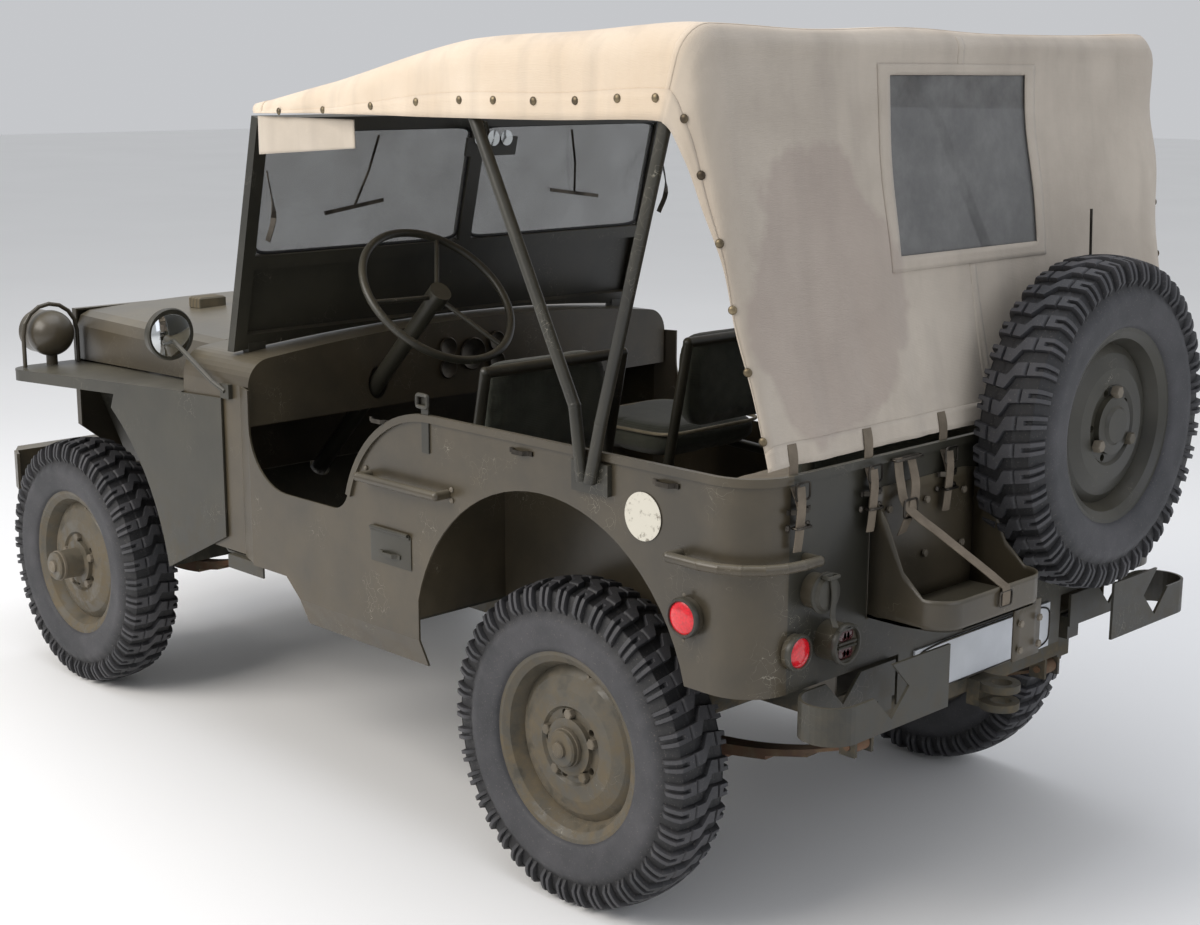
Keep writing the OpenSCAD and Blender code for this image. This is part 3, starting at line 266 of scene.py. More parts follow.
# Points deep in the tread's grooves darken to near black: painted shade in the recesses between the cleats.
worn = add_node(tree, "Attribute", attribute_name="groove").outputs["Fac"]
groove_painted_shade = add_node(tree, "Mix", {0: worn, 6: shade.outputs[0]}, data_type="RGBA", _7=srgb("#1d1d1f"))
grit = add_node(tree, "TexNoise", {"Vector": where}, Scale=260.0, Detail=3.0)                  # 4 mm scuffs
scuff = add_node(tree, "MapRange", {"Value": grit.outputs["Fac"]}, From_Min=0.62, From_Max=0.72, To_Max=0.35)
scuffed = add_node(tree, "Mix", {0: scuff.outputs[0], 6: groove_painted_shade.outputs[2]}, data_type="RGBA", _7=srgb("#77716a"))
uneven = add_node(tree, "Bump", {"Height": grit.outputs["Fac"]}, Strength=0.3, Distance=0.0012)
shader = add_node(tree, "BsdfPrincipled", {"Base Color": scuffed.outputs[2], "Normal": uneven.outputs[0]},
                  Roughness=0.62, IOR=1.52)
tree.links.new(shader.outputs[0], out.inputs[0])


def tyre_surface(centre, radius, half, bead):
    """A closed section carried round the wheel's axis, 40 cleats to a turn. Each cleat is a block 11 mm high
    from the tread's centre line over the shoulder, notched at its outer end; half way across the tread the
    cleats of one side step by half a pitch from the other's, and two grooves run right round between."""
    depth, pitches = 0.011, 40
    side = through([(0.73, bead), (0.90, bead + 0.012), (0.965, bead + 0.045), (1.0, bead + 0.075),
                    (0.985, bead + 0.105), (0.93, radius - 0.024), (0.84, radius - 0.0095)], 26)
    crown = np.stack([np.linspace(0.84, 0, 16)[1:],
                      radius - 0.0095 + 0.0095 * (1 - (np.linspace(0.84, 0, 16)[1:] / 0.84) ** 2)], 1)
    line = np.concatenate([side, crown])
    steps = {"groove_out": 0.44, "groove_in": 0.37}
    for y in steps.values():                                   # doubled rows make the grooves' walls steep
        for e in (-0.008, 0.008):
            line = np.concatenate([line, [[y + e, np.interp(y + e, line[::-1, 0][:16], line[::-1, 1][:16])]]])
    top = line[len(side):]
    line = np.concatenate([side, top[np.argsort(-top[:, 0])]])
    y = np.concatenate([line[:, 0], -line[::-1, 0][1:]])
    r = np.concatenate([line[:, 1], line[::-1, 1][1:]])
    tread = (r > radius - 0.062) & ((np.arange(len(y)) > 8) & (np.arange(len(y)) < len(y) - 9))
    fade = np.clip((r - (radius - 0.062)) / 0.016, 0, 1) * tread
    groove = (np.abs(y) < steps["groove_out"]) & (np.abs(y) > steps["groove_in"])
    edges = np.array([0.0, 0.035, 0.19, 0.215, 0.345, 0.37, 0.525, 0.56])
    lug = np.array([0, 1, 1, 1, 1, 1, 1, 0.0])
    notch = np.array([0, 0, 0, 1, 1, 0, 0, 0.0])
    turn = (np.arange(pitches)[:, None] + edges[None]).reshape(-1) / pitches
    lug, notch = np.tile(lug, pitches), np.tile(notch, pitches)
    outer = (np.abs(y) > 0.66) & (r > radius - 0.050)
    shift = 0.5 * np.clip((y + 0.1) / 0.2, 0, 1) + 0.22 * np.abs(y)       # half a pitch across, slanted outwards
    height = fade[:, None] * lug[None] * (1 - groove[:, None]) * (1 - 0.75 * outer[:, None] * notch[None])
    angle = 2 * math.pi * (turn[None] + shift[:, None] / pitches)
    dy, dr = np.gradient(y * half), np.gradient(r)
    size = np.hypot(dy, dr)
    out_y, out_r = dr / size, -dy / size
    cut = depth * (height - (fade[:, None] > 0))
    yy = y[:, None] * half + out_y[:, None] * cut
    rr = r[:, None] + out_r[:, None] * cut
    grid = np.stack([rr * np.cos(angle), yy, rr * np.sin(angle)], -1) + np.asarray(centre)
    inner = np.array([[-0.73, bead - 0.002], [0.73, bead - 0.002]])
    ring = np.stack([np.stack([q[1] * np.cos(angle[k]), np.full_like(angle[k], q[0] * half),
                               q[1] * np.sin(angle[k])], -1)
                     for k, q in zip((-1, 0), inner)]) + np.asarray(centre)
    grid = np.concatenate([grid, ring])
    groove_share = np.concatenate([(fade[:, None] > 0) * (1 - height), np.zeros((2, len(turn)))])
    return surface(grid[::-1], wrap_u=True, wrap_v=True), groove_share[::-1].reshape(-1)


def tyre(node):
    """A CAD tyre's centre, radius and half width, whichever way it stands."""
    low, high = np.array(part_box(node))
    centre, radius, half = (low + high) / 2, (high - low)[2] / 2, (high - low)[1] / 2
    if half > radius / 2:
        half = (high - low)[0] / 2
    return centre, radius, half


def rubber_tyre(name, part, share, body, node):
    """A tyre in place of its CAD node, its groove attribute saying how deep in a groove each point lies."""
    obj = piece(name, part, body, rubber, sharp=40)
    obj.data.attributes.new("groove", "FLOAT", "POINT").data.foreach_set("value", share.astype(np.float32))
    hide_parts(node)


for corner in ("front_left", "front_right", "rear_left", "rear_right"):
    centre, radius, half = tyre("tyre_" + corner)
    part, share = tyre_surface(centre, radius, half, 0.203)
    rubber_tyre("rubber_tyre_" + corner, part, share, "wheel_" + corner, "tyre_" + corner)
centre, radius, half = tyre("spare_tyre")
(points, faces), share = tyre_surface((0, 0, 0), radius, half, 0.203)
points = np.stack([-points[:, 1], points[:, 0], points[:, 2]], 1) + centre
rubber_tyre("rubber_tyre_spare", (points, faces), share, "root", "spare_tyre")


# ---------------------------------------------------------------- canvas top
# One sheet of cotton duck, peach on the roof and turned grey-beige on the tail by painted shade, stretched over
# two bows, hooked to the windscreen and strapped to the tail, with doubled hems and snap buttons.
def smooth_at(x, xs, ys):
    """A smooth line through (xs, ys) read at x: cubics whose slopes come from each point's neighbours."""
    x = np.clip(x, xs[0], xs[-1])
    k = np.clip(np.searchsorted(xs, x, side="right") - 1, 0, len(xs) - 2)
    xs, ys = np.asarray(xs, float), np.asarray(ys, float)
    f = (x - xs[k]) / (xs[k + 1] - xs[k])
    slope = np.gradient(ys, xs)
    h = xs[k + 1] - xs[k]
    return (ys[k] * (1 + 2 * f) * (1 - f) ** 2 + slope[k] * h * f * (1 - f) ** 2
            + ys[k + 1] * f * f * (3 - 2 * f) - slope[k + 1] * h * f * f * (1 - f))


WINDOW_Y, WINDOW_Z = 0.2425, (1.383, 1.729)
STRAP_Y = (0.638, 0.421, 0.174, -0.174, -0.421, -0.638)
# Stations along the sheet: the middle line (cx, cz), the hem (ex, ez) and the half width, windscreen to tail
station = [0, 0.25, 0.55, 0.75, 0.97, 1.0, 1.03, 1.12, 1.28, 1.45, 1.62, 1.80, 2.0]
cx = [0.115, -0.20, -0.711, -1.00, -1.312, -1.334, -1.347, -1.354, -1.370, -1.393, -1.418, -1.445, -1.474]
cz = [1.655, 1.716, 1.797, 1.800, 1.815, 1.812, 1.797, 1.752, 1.640, 1.500, 1.350, 1.210, 1.037]
ex = [0.112, -0.22, -0.711, -0.99, -1.265, -1.277, -1.290, -1.320, -1.348, -1.390, -1.412, -1.440, -1.470]
ez = [1.634, 1.640, 1.643, 1.645, 1.650, 1.648, 1.640, 1.590, 1.517, 1.405, 1.285, 1.165, 1.034]
half_width = [0.703, 0.745, 0.788, 0.788, 0.788, 0.788, 0.787, 0.783, 0.768, 0.752, 0.737, 0.718, 0.700]
luck = np.random.default_rng(1944)
crease_k = luck.normal(0, 1, (28, 2)) * np.array([9.0, 7.0])
crease_p = luck.uniform(0, 2 * math.pi, 28)


def bare_canopy(s, q):
    """The stretched sheet. s runs from the windscreen (0) over the rear bow (1) to the tail (2), and q across
    it: flat out to 0.7, a rounded corner to 0.8, then down the side to the hem at 1."""
    c = np.stack([smooth_at(s, station, cx), smooth_at(s, station, cz)], -1)
    e = np.stack([smooth_at(s, station, ex), smooth_at(s, station, ez)], -1)
    wide = smooth_at(s, station, half_width)
    drop = e - c
    deep = np.maximum(np.linalg.norm(drop, axis=-1), 1e-4)
    n = drop / deep[..., None]
    r = np.minimum(0.055, deep * 0.7)
    a = np.abs(q)
    y = np.where(a < 0.25, a / 0.25 * WINDOW_Y, WINDOW_Y + (a - 0.25) / 0.45 * (wide - r - WINDOW_Y))
    turn = np.clip((a - 0.7) / 0.1, 0, 1) * math.pi / 2
    y = np.where(a > 0.7, wide - r + r * np.sin(turn), y)
    d = r * (1 - np.cos(turn)) + np.clip((a - 0.8) / 0.2, 0, 1) * (deep - r)
    return np.stack([c[..., 0] + n[..., 0] * d, np.sign(q) * y, c[..., 1] + n[..., 1] * d], -1)


def canopy(s, q, lift=0.0):
    """The sheet with its sags and folds, moved out along its own normal by lift. It hangs 26 mm between the
    windscreen and the front bow and 9 mm between the bows, hollows 14 mm behind, creases from each strap
    as a bell that widens upwards, and has broad soft ripples (28 sine waves, 2 mm) all over."""
    s, q = np.broadcast_arrays(np.asarray(s, float), np.asarray(q, float))
    p, h = bare_canopy(s, q), 1e-3
    du, dv = bare_canopy(s + h, q) - bare_canopy(s - h, q), bare_canopy(s, q + h) - bare_canopy(s, q - h)
    normal = np.cross(dv, du)
    normal /= np.maximum(np.linalg.norm(normal, axis=-1, keepdims=True), 1e-12)
    y, t = p[..., 1], np.clip(s - 1, 0, 1)
    across = np.cos(np.clip(np.abs(q) / 0.7, 0, 1) * math.pi / 2) ** 0.7
    bay = lambda a, b: np.where((s > a) & (s < b), np.sin(math.pi * np.clip((s - a) / (b - a), 0, 1)), 0)
    move = -0.026 * bay(0, 0.55) * (0.35 + 0.65 * across) - 0.009 * bay(0.55, 0.97) * across
    move = move - 0.014 * bay(1.05, 2.0) * across
    side = np.clip((np.abs(q) - 0.72) / 0.2, 0, 1) * (s < 1)
    move = move + side * 0.006 * np.sin(p[..., 0] * 21 + 1.0) * np.clip((np.abs(q) - 0.75) * 4, 0, 1)
    for foot in STRAP_Y:
        spread = 0.020 + 0.20 * (1 - t)
        move = move - 0.010 * np.exp(-((y - foot) / spread) ** 2) * t ** 3 * (s > 1)
    folds = np.sin((y + 0.05 * np.sin(5 * t + 3 * y)) * 47 + 2.2 * np.sin(6 * y)) * 0.0035
    folds += np.sin((y * 83 + 5 * t * np.sign(y))) * 0.0016
    move = move + folds * np.clip((t - 0.25) / 0.75, 0, 1) ** 1.5
    shoulder = np.clip((np.abs(q) - 0.45) / 0.3, 0, 1) * np.clip(t * 6, 0, 1) * (1 - t)
    move = move + 0.006 * shoulder * np.sin(p[..., 2] * 26 + 9 * y)
    ripple = np.sin(p[..., 1:2] * crease_k[:, 0] + (p[..., 2:] * 1.3 + p[..., :1]) * crease_k[:,
                                                                                              1] + crease_p).sum(-1)
    move = move + 0.0005 * ripple * np.where(s < 1, 1.6, 1.0)
    return p + normal * (move + lift)[..., None]


def window_s(z):
    """Where down the tail a height lies."""
    line = np.linspace(1, 2, 2001)
    return np.interp(z, canopy(line, 0 * line)[::-1, 2], line[::-1])


canvas, tree, out = new_material("faded_cotton_duck")
where = add_node(tree, "TexCoord").outputs["Object"]
lay = add_node(tree, "UVMap", uv_map="cloth").outputs[0]
# The roof's peach is the canvas's own colour; the grey-beige drawn on the curtain at the tail is painted shade, and an
# attribute picks between the two.
own_tone_weight = add_node(tree, "Attribute", attribute_name="roof_tone_share").outputs["Fac"]
cloud = add_node(tree, "TexNoise", {"Vector": where}, Scale=2.6, Detail=7.0, Roughness=0.6)
shade = ramp(tree, cloud.outputs["Fac"], "#a69c8f", "#bcb2a4", 0.34, 0.66)
roof_canvas_tone = ramp(tree, cloud.outputs["Fac"], "#c9b59c", "#d9cab6", 0.3, 0.7)
base = add_node(tree, "Mix", {0: own_tone_weight, 6: shade.outputs[0], 7: roof_canvas_tone.outputs[0]}, data_type="RGBA")
torn = add_node(tree, "TexNoise", {"Vector": where}, Scale=4.2, Detail=4.0, Roughness=0.55)
near = add_node(tree, "Mapping", {"Vector": where}, vector_type="POINT", Scale=(0.0, 3.4, 3.0),
                Location=(0, -1.63, -3.96))
ring = add_node(tree, "VectorMath", {0: near.outputs[0]}, operation="LENGTH")
wet = add_node(tree, "Math", {0: torn.outputs["Fac"], 1: ring.outputs["Value"]}, operation="SUBTRACT")
stain = add_node(tree, "MapRange", {"Value": wet.outputs[0]}, From_Min=-0.32, From_Max=-0.24, To_Max=0.38)
stained = add_node(tree, "Mix", {0: stain.outputs[0], 6: base.outputs[2]}, data_type="RGBA", _7=srgb("#8f7f78"))
streak = add_node(tree, "Mapping", {"Vector": where}, Scale=(9.0, 9.0, 0.8))
streak = add_node(tree, "TexNoise", {"Vector": streak.outputs[0]}, Scale=1.6, Detail=5.0)
run = add_node(tree, "MapRange", {"Value": streak.outputs["Fac"]}, From_Min=0.5, From_Max=0.8, To_Max=0.3)
dirty = add_node(tree, "Mix", {0: run.outputs[0], 6: stained.outputs[2]}, data_type="RGBA", _7=srgb("#8b8278"))
# The real thread is 0.5 mm; it is drawn at 3 mm so that the weave shows
warp = add_node(tree, "TexWave", {"Vector": lay}, wave_type="BANDS", bands_direction="X", Scale=105.0)
weft = add_node(tree, "TexWave", {"Vector": lay}, wave_type="BANDS", bands_direction="Y", Scale=105.0)
weave = add_node(tree, "Math", {0: warp.outputs["Fac"], 1: weft.outputs["Fac"]}, operation="MULTIPLY")
rumple = add_node(tree, "TexNoise", {"Vector": where}, Scale=24.0, Detail=6.0, Roughness=0.6)
rough_cloth = add_node(tree, "Math", {0: rumple.outputs["Fac"], 2: weave.outputs[0]}, operation="MULTIPLY_ADD",
                       _1=4.0)
bump = add_node(tree, "Bump", {"Height": rough_cloth.outputs[0]}, Strength=0.35, Distance=0.0011)
shader = add_node(tree, "BsdfPrincipled", {"Base Color": dirty.outputs[2], "Normal": bump.outputs[0]},
                  Roughness=0.88, Sheen_Weight=0.15)
tree.links.new(shader.outputs[0], out.inputs[0])


def cloth_patch(name, s, q, lift, thick, wrap=False, skip=None, material=None):
    """Part of the sheet over a grid of s and q, standing off it by lift, with its thickness, its lay in
    metres as a UV map, and how much it keeps the roof's own tone against painted shade (all on the roof, fading out
    over the rear bow)."""
    s, q = np.meshgrid(s, q, indexing="ij") if np.ndim(s) == 1 else (s, q)
    grid = canopy(s, q, lift)
    obj = piece(name, surface(grid, wrap_u=wrap, skip=skip), "root", material or canvas, sharp=180)
    along = np.cumsum(np.linalg.norm(np.diff(grid, axis=0, prepend=grid[:1]), axis=2), 0)
    over = np.cumsum(np.linalg.norm(np.diff(grid, axis=1, prepend=grid[:, :1]), axis=2), 1)
    lay = np.stack([over, along], -1).reshape(-1, 2)
    loops = np.empty(len(obj.data.loops), np.int32)
    obj.data.loops.foreach_get("vertex_index", loops)
    obj.data.uv_layers.new(name="cloth").data.foreach_set("uv", lay[loops].astype(np.float32).ravel())
    # 1 keeps the roof's own tone and 0 gives painted shade; the tail's sides take up to a quarter of the roof's tone.
    roof_tone_share = np.clip((1.02 - s) / 0.05, 0, 1) + 0.25 * np.clip((np.abs(q) - 0.7) / 0.2, 0, 1) * (s > 1)
    obj.data.attributes.new("roof_tone_share", "FLOAT", "POINT").data.foreach_set("value",
                                                                         np.clip(roof_tone_share, 0,
                                                                                 1).astype(np.float32).ravel())
    wall = obj.modifiers.new("cloth thickness", "SOLIDIFY")
    wall.thickness, wall.offset = thick, -1
    return obj


top_s, low_s = window_s(WINDOW_Z[1]), window_s(WINDOW_Z[0])
rows = np.concatenate([np.linspace(0, 0.93, 52), np.linspace(0.945, 1.06, 14), np.linspace(1.07, top_s, 10),
                       np.linspace(top_s, low_s, 26)[1:], np.linspace(low_s, 2, 46)[1:]])
cols = np.concatenate([np.linspace(-1, -0.8, 9), np.linspace(-0.8, -0.7, 8)[1:], np.linspace(-0.7, -0.25, 26)[1:],
                       np.linspace(-0.25, 0.25, 24)[1:], np.linspace(0.25, 0.7, 26)[1:],
                       np.linspace(0.7, 0.8, 8)[1:], np.linspace(0.8, 1, 9)[1:]])
inside = lambda i, j: ((rows[i] > top_s - 1e-9) & (rows[i] < low_s - 1e-9)
                       & (cols[j] > -0.25 - 1e-9) & (cols[j] < 0.25 - 1e-9))
top = cloth_patch("canvas_roof_and_curtain", rows, cols, 0.0, 0.0018, skip=inside)
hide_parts("canvas_top")

cloth_patch("hem_left", rows, np.linspace(0.90, 1.0, 4), 0.0016, 0.0014)
cloth_patch("hem_right", rows, -np.linspace(0.90, 1.0, 4)[::-1], 0.0016, 0.0014)
cloth_patch("hem_tail", np.linspace(1.952, 2.0, 5), cols, 0.0017, 0.0014)
cloth_patch("hem_windscreen", np.linspace(0, 0.035, 4), cols, 0.0017, 0.0014)
edge_s, edge_q = 0.035, 0.033
frame_s = np.array([top_s - edge_s, top_s - 0.002, low_s + 0.002, low_s + edge_s])
border_s = np.concatenate([np.linspace(frame_s[0], frame_s[1], 4), np.linspace(frame_s[1], frame_s[2], 26)[1:],
                           np.linspace(frame_s[2], frame_s[3], 4)[1:]])
border_q = np.concatenate([np.linspace(-0.25 - edge_q, -0.248, 4), np.linspace(-0.248, 0.248, 24)[1:],
                           np.linspace(0.248, 0.25 + edge_q, 4)[1:]])
hole = lambda i, j: (i > 2) & (i < len(border_s) - 4) & (j > 2) & (j < len(border_q) - 4)
cloth_patch("window_border", border_s, border_q, 0.0020, 0.0014, skip=hole)
for name, a, b in (("seam_above", 1.02, top_s - edge_s), ("seam_below", low_s + edge_s, 1.952)):
    cloth_patch(name, np.linspace(a, b, 30), np.array([-0.012, -0.004, 0.004, 0.012]), 0.0014, 0.0010)
cloth_patch("seam_over_rear_bow", np.linspace(0.975, 0.995, 4), cols, 0.0014, 0.0010)
run = np.linalg.norm(np.diff(canopy(rows, 0 * rows), axis=0), axis=1).sum()
width = np.linalg.norm(np.diff(canopy(np.full_like(cols, 0.8), cols), axis=0), axis=1).sum()

pane, tree, out = new_material("clouded_window_film")
where = add_node(tree, "TexCoord").outputs["Object"]
haze = add_node(tree, "TexNoise", {"Vector": where}, Scale=9.0, Detail=6.0, Roughness=0.65)
tint = ramp(tree, haze.outputs["Fac"], "#4c4c4c", "#757573", 0.3, 0.75)
film = add_node(tree, "BsdfPrincipled", {"Base Color": tint.outputs[0]}, Roughness=0.32, IOR=1.48)
clear = add_node(tree, "BsdfTransparent")
share = add_node(tree, "MapRange", {"Value": haze.outputs["Fac"]}, From_Min=0.3, From_Max=0.7, To_Min=0.72,
                 To_Max=0.9)
mixed = add_node(tree, "MixShader", {0: share.outputs[0], 1: clear.outputs[0], 2: film.outputs[0]})
tree.links.new(mixed.outputs[0], out.inputs[0])
cloth_patch("rear_window_film", np.linspace(top_s - 0.012, low_s + 0.012, 26),
                        np.linspace(-0.262, 0.262, 24), -0.0022, 0.0008, material=pane)


def dome(radius, height, sides=16, rings=5):
    """A closed button: rings whose radius and height follow a quarter circle, with a flat back."""
    a = np.linspace(0, math.pi / 2, rings)[:, None] * np.ones(sides)
    t = np.linspace(0, 2 * math.pi, sides, endpoint=False)[None]
    grid = np.stack([radius * np.cos(a) * np.cos(t), radius * np.cos(a) * np.sin(t), height * np.sin(a) + 0 * t],
                    -1)[:-1]
    points, faces = surface(grid, wrap_v=True)
    faces = [f[::-1] for f in faces]
    tip, back = len(points), len(points) + 1
    last = (rings - 2) * sides
    faces += [[last + i, last + (i + 1) % sides, tip] for i in range(sides)]
    faces += [[(i + 1) % sides, i, back] for i in range(sides)]
    return np.concatenate([points, [[0, 0, height], [0, 0, 0]]]), faces


def set_along(part, places, outward, up=(0, 0, 1.0)):
    """Copies of a part whose Z turns to each outward direction and whose Y leans to up, as one."""
    points, faces = part
    z = np.asarray(outward, float)
    z = z / np.linalg.norm(z, axis=-1, keepdims=True)
    x = np.cross(np.broadcast_to(np.asarray(up, float), z.shape), z)
    x /= np.linalg.norm(x, axis=-1, keepdims=True)
    turn = np.stack([x, np.cross(z, x), z], -2)
    placed_points = points[None] @ turn + np.asarray(places, float)[:, None]
    n = len(points)
    return placed_points.reshape(-1, 3), [[i + n * k for i in f] for k in range(len(places)) for f in faces]


def bare_metal(name, light, dark, rough, metallic=1.0):
    """Metal dulled by handling: two tones in 60 mm patches, and 3 mm pits in its gloss and relief."""
    material, tree, out = new_material(name)
    where = add_node(tree, "TexCoord").outputs["Object"]
    patch = add_node(tree, "TexNoise", {"Vector": where}, Scale=16.0, Detail=5.0)
    tone = ramp(tree, patch.outputs["Fac"], dark, light, 0.35, 0.65)
    pits = add_node(tree, "TexNoise", {"Vector": where}, Scale=330.0, Detail=2.0)
    gloss = add_node(tree, "MapRange", {"Value": pits.outputs["Fac"]}, To_Min=rough - 0.12, To_Max=rough + 0.12)
    bump = add_node(tree, "Bump", {"Height": pits.outputs["Fac"]}, Strength=0.2, Distance=0.0006)
    shader = add_node(tree, "BsdfPrincipled", {"Base Color": tone.outputs[0], "Roughness": gloss.outputs[0],
                                               "Normal": bump.outputs[0]}, Metallic=metallic)
    tree.links.new(shader.outputs[0], out.inputs[0])
    return material


dull_brass = bare_metal("tarnished_snap_brass", "#8c7f66", "#4a4238", 0.45)
roof_s = np.concatenate([[0.10, 0.24, 0.36, 0.47], np.linspace(0.56, 0.95, 6)])
tail_s = np.array([1.10, 1.27, 1.43, 1.58, 1.74, 1.92])
spots, outs = [], []
for sign in (1, -1):
    for s, q in ((roof_s, 0.93), (tail_s, 0.90)):
        at = canopy(s, np.full_like(s, sign * q), 0.0032)
        spots.append(at)
        outs.append(at - canopy(s, np.full_like(s, sign * q), -0.01))
snaps = piece("snap_buttons", set_along(dome(0.0085, 0.0045), np.concatenate(spots), np.concatenate(outs)), "root",
              dull_brass)


# ---------------------------------------------------------------- cushions
# Pads of hair and cotton in sewn canvas covers: dark green with tan piping on the
# two front seats, beige on the rear bench, lying on the seats' bent tube frames.
def woven_cover(name, light, dark, soiled):
    """Canvas with a 2 mm weave on object coordinates, blotched 80 mm across and soiled in patches."""
    material, tree, out = new_material(name)
    where = add_node(tree, "TexCoord").outputs["Object"]
    blotch = add_node(tree, "TexNoise", {"Vector": where}, Scale=12.0, Detail=6.0, Roughness=0.6)
    tone = ramp(tree, blotch.outputs["Fac"], dark, light, 0.35, 0.65)
    patch = add_node(tree, "TexNoise", {"Vector": where}, Scale=5.0, Detail=3.0)
    worn = add_node(tree, "MapRange", {"Value": patch.outputs["Fac"]}, From_Min=0.5, From_Max=0.7, To_Max=0.6)
    colour = add_node(tree, "Mix", {0: worn.outputs[0], 6: tone.outputs[0]}, data_type="RGBA", _7=srgb(soiled))
    parts = add_node(tree, "SeparateXYZ", {0: where})
    threads = [add_node(tree, "Math", {0: add_node(tree, "Math", {0: parts.outputs[k]}, operation="MULTIPLY",
                                                   _1=math.pi / 0.002).outputs[0]}, operation="SINE") for k in (0,
                                                                                                                1,
                                                                                                                2)]
    weave = add_node(tree, "Math", {0: threads[0].outputs[0], 1: threads[1].outputs[0]}, operation="MULTIPLY")
    weave = add_node(tree, "Math", {0: weave.outputs[0], 1: threads[2].outputs[0]}, operation="ADD")
    bump = add_node(tree, "Bump", {"Height": weave.outputs[0]}, Strength=0.25, Distance=0.0007)
    shader = add_node(tree, "BsdfPrincipled", {"Base Color": colour.outputs[2], "Normal": bump.outputs[0]},
                      Roughness=0.85, Sheen_Weight=0.2)
    tree.links.new(shader.outputs[0], out.inputs[0])
    return material


def pillow(low, high):
    """A crowned pad in a box: a cube's faces carried outwards to |x|^7 + |y|^7 + |z|^3.2 = 1."""
    low, high = np.array(low), np.array(high)
    n = 26
    a = np.linspace(-1, 1, n)
    u, v = np.meshgrid(a, a, indexing="ij")
    one = np.ones_like(u)
    sides = [np.stack(k, -1) for k in ((u, v, one), (v, u, -one), (one, u, v), (-one, v, u), (v, one, u),
                                       (u, -one, v))]
    points, faces = joined(*[surface(g) for g in sides])
    p = np.abs(points)
    power = np.array([7.0, 7.0, 3.2])
    scale = np.ones(len(points))
    for _ in range(12):                                # Newton steps towards the rounded form
        f = ((p * scale[:, None]) ** power).sum(1) - 1
        g = (power * p ** power * scale[:, None] ** (power - 1)).sum(1)
        scale -= f / g
    return points * scale[:, None] * (high - low) / 2 + (low + high) / 2, faces


def stuffed(obj, cap, voxel=0.006, pressure=4.0):
    """Blows the cover out by cloth simulation: remeshed to even faces, 20 frames of pressure without
    gravity, and no point moves further than cap. The moved mesh replaces the first one."""
    mesh = obj.data
    remesh = obj.modifiers.new("even faces", "REMESH")
    remesh.mode, remesh.voxel_size, remesh.use_smooth_shade = "VOXEL", voxel, True
    graph = bpy.context.evaluated_depsgraph_get()
    even = bpy.data.meshes.new_from_object(obj.evaluated_get(graph))
    obj.modifiers.clear()
    obj.data = even
    rest = np.empty(len(even.vertices) * 3, np.float32)
    even.vertices.foreach_get("co", rest)
    cloth = obj.modifiers.new("stuffing", "CLOTH")
    cloth.settings.use_pressure, cloth.settings.uniform_pressure_force = True, pressure
    cloth.settings.effector_weights.gravity = 0
    cloth.settings.quality = 5
    cloth.point_cache.frame_end = 20
    scene = bpy.context.scene
    for f in range(1, 21):
        scene.frame_set(f)
    graph = bpy.context.evaluated_depsgraph_get()
    swollen = bpy.data.meshes.new_from_object(obj.evaluated_get(graph))
    now = np.empty(len(swollen.vertices) * 3, np.float32)
    swollen.vertices.foreach_get("co", now)
    move = (now - rest).reshape(-1, 3)
    size = np.linalg.norm(move, axis=1, keepdims=True)
    even.vertices.foreach_set("co", (rest.reshape(-1, 3) + move * np.minimum(1,
                                                                             cap / np.maximum(size,
                                                                                              1e-9))).ravel())
    obj.modifiers.clear()
    scene.frame_set(1)
    even.update()
    even.shade_smooth()
    return obj


def squarish(t, power):
    """Cosine and sine with their sizes raised to a power: a circle drawn out towards a square."""
    c, s = np.cos(t), np.sin(t)
    return np.sign(c) * np.abs(c) ** power, np.sign(s) * np.abs(s) ** power


def piping(low, high, z, r=0.0045, inset=0.006):
    """A cord sewn round a pad's rim: a circle carried round a rounded rectangle."""
    lo, hi = np.array(low[:2]) + inset, np.array(high[:2]) - inset
    c, h = (lo + hi) / 2, (hi - lo) / 2
    t = np.linspace(0, 2 * math.pi, 96, endpoint=False)
    x, y = squarish(t, 0.28)
    line = np.stack([x * h[0] + c[0], y * h[1] + c[1], np.full_like(x, z)], 1)
    return tube(line, r, closed=True)


def tube(line, r, sides=10, closed=False, up=(0, 0, 1.0)):
    """A circle carried along a line; its frame leans to up."""
    line = np.asarray(line, float)
    ahead = np.roll(line, -1, 0) - np.roll(line, 1, 0)
    if not closed:
        ahead[0], ahead[-1] = line[1] - line[0], line[-1] - line[-2]
    ahead /= np.linalg.norm(ahead, axis=1, keepdims=True)
    ref = np.where(np.abs(ahead @ np.asarray(up, float))[:, None] > 0.95, np.array([1.0, 0.2, 0.1]),
                   np.asarray(up, float))
    a = np.cross(ahead, ref)
    a /= np.linalg.norm(a, axis=1, keepdims=True)
    b = np.cross(a, ahead)
    t = np.linspace(0, 2 * math.pi, sides, endpoint=False)
    r = np.broadcast_to(np.asarray(r, float), (len(line),))[:, None, None]
    grid = line[:, None] + r * (np.cos(t)[None, :, None] * a[:, None] + np.sin(t)[None, :, None] * b[:, None])
    points, faces = surface(grid, wrap_u=closed, wrap_v=True)
    if not closed:
        n = len(line) * sides
        faces += [list(range(sides)), list(range(n - sides, n))[::-1]]
    return points, faces


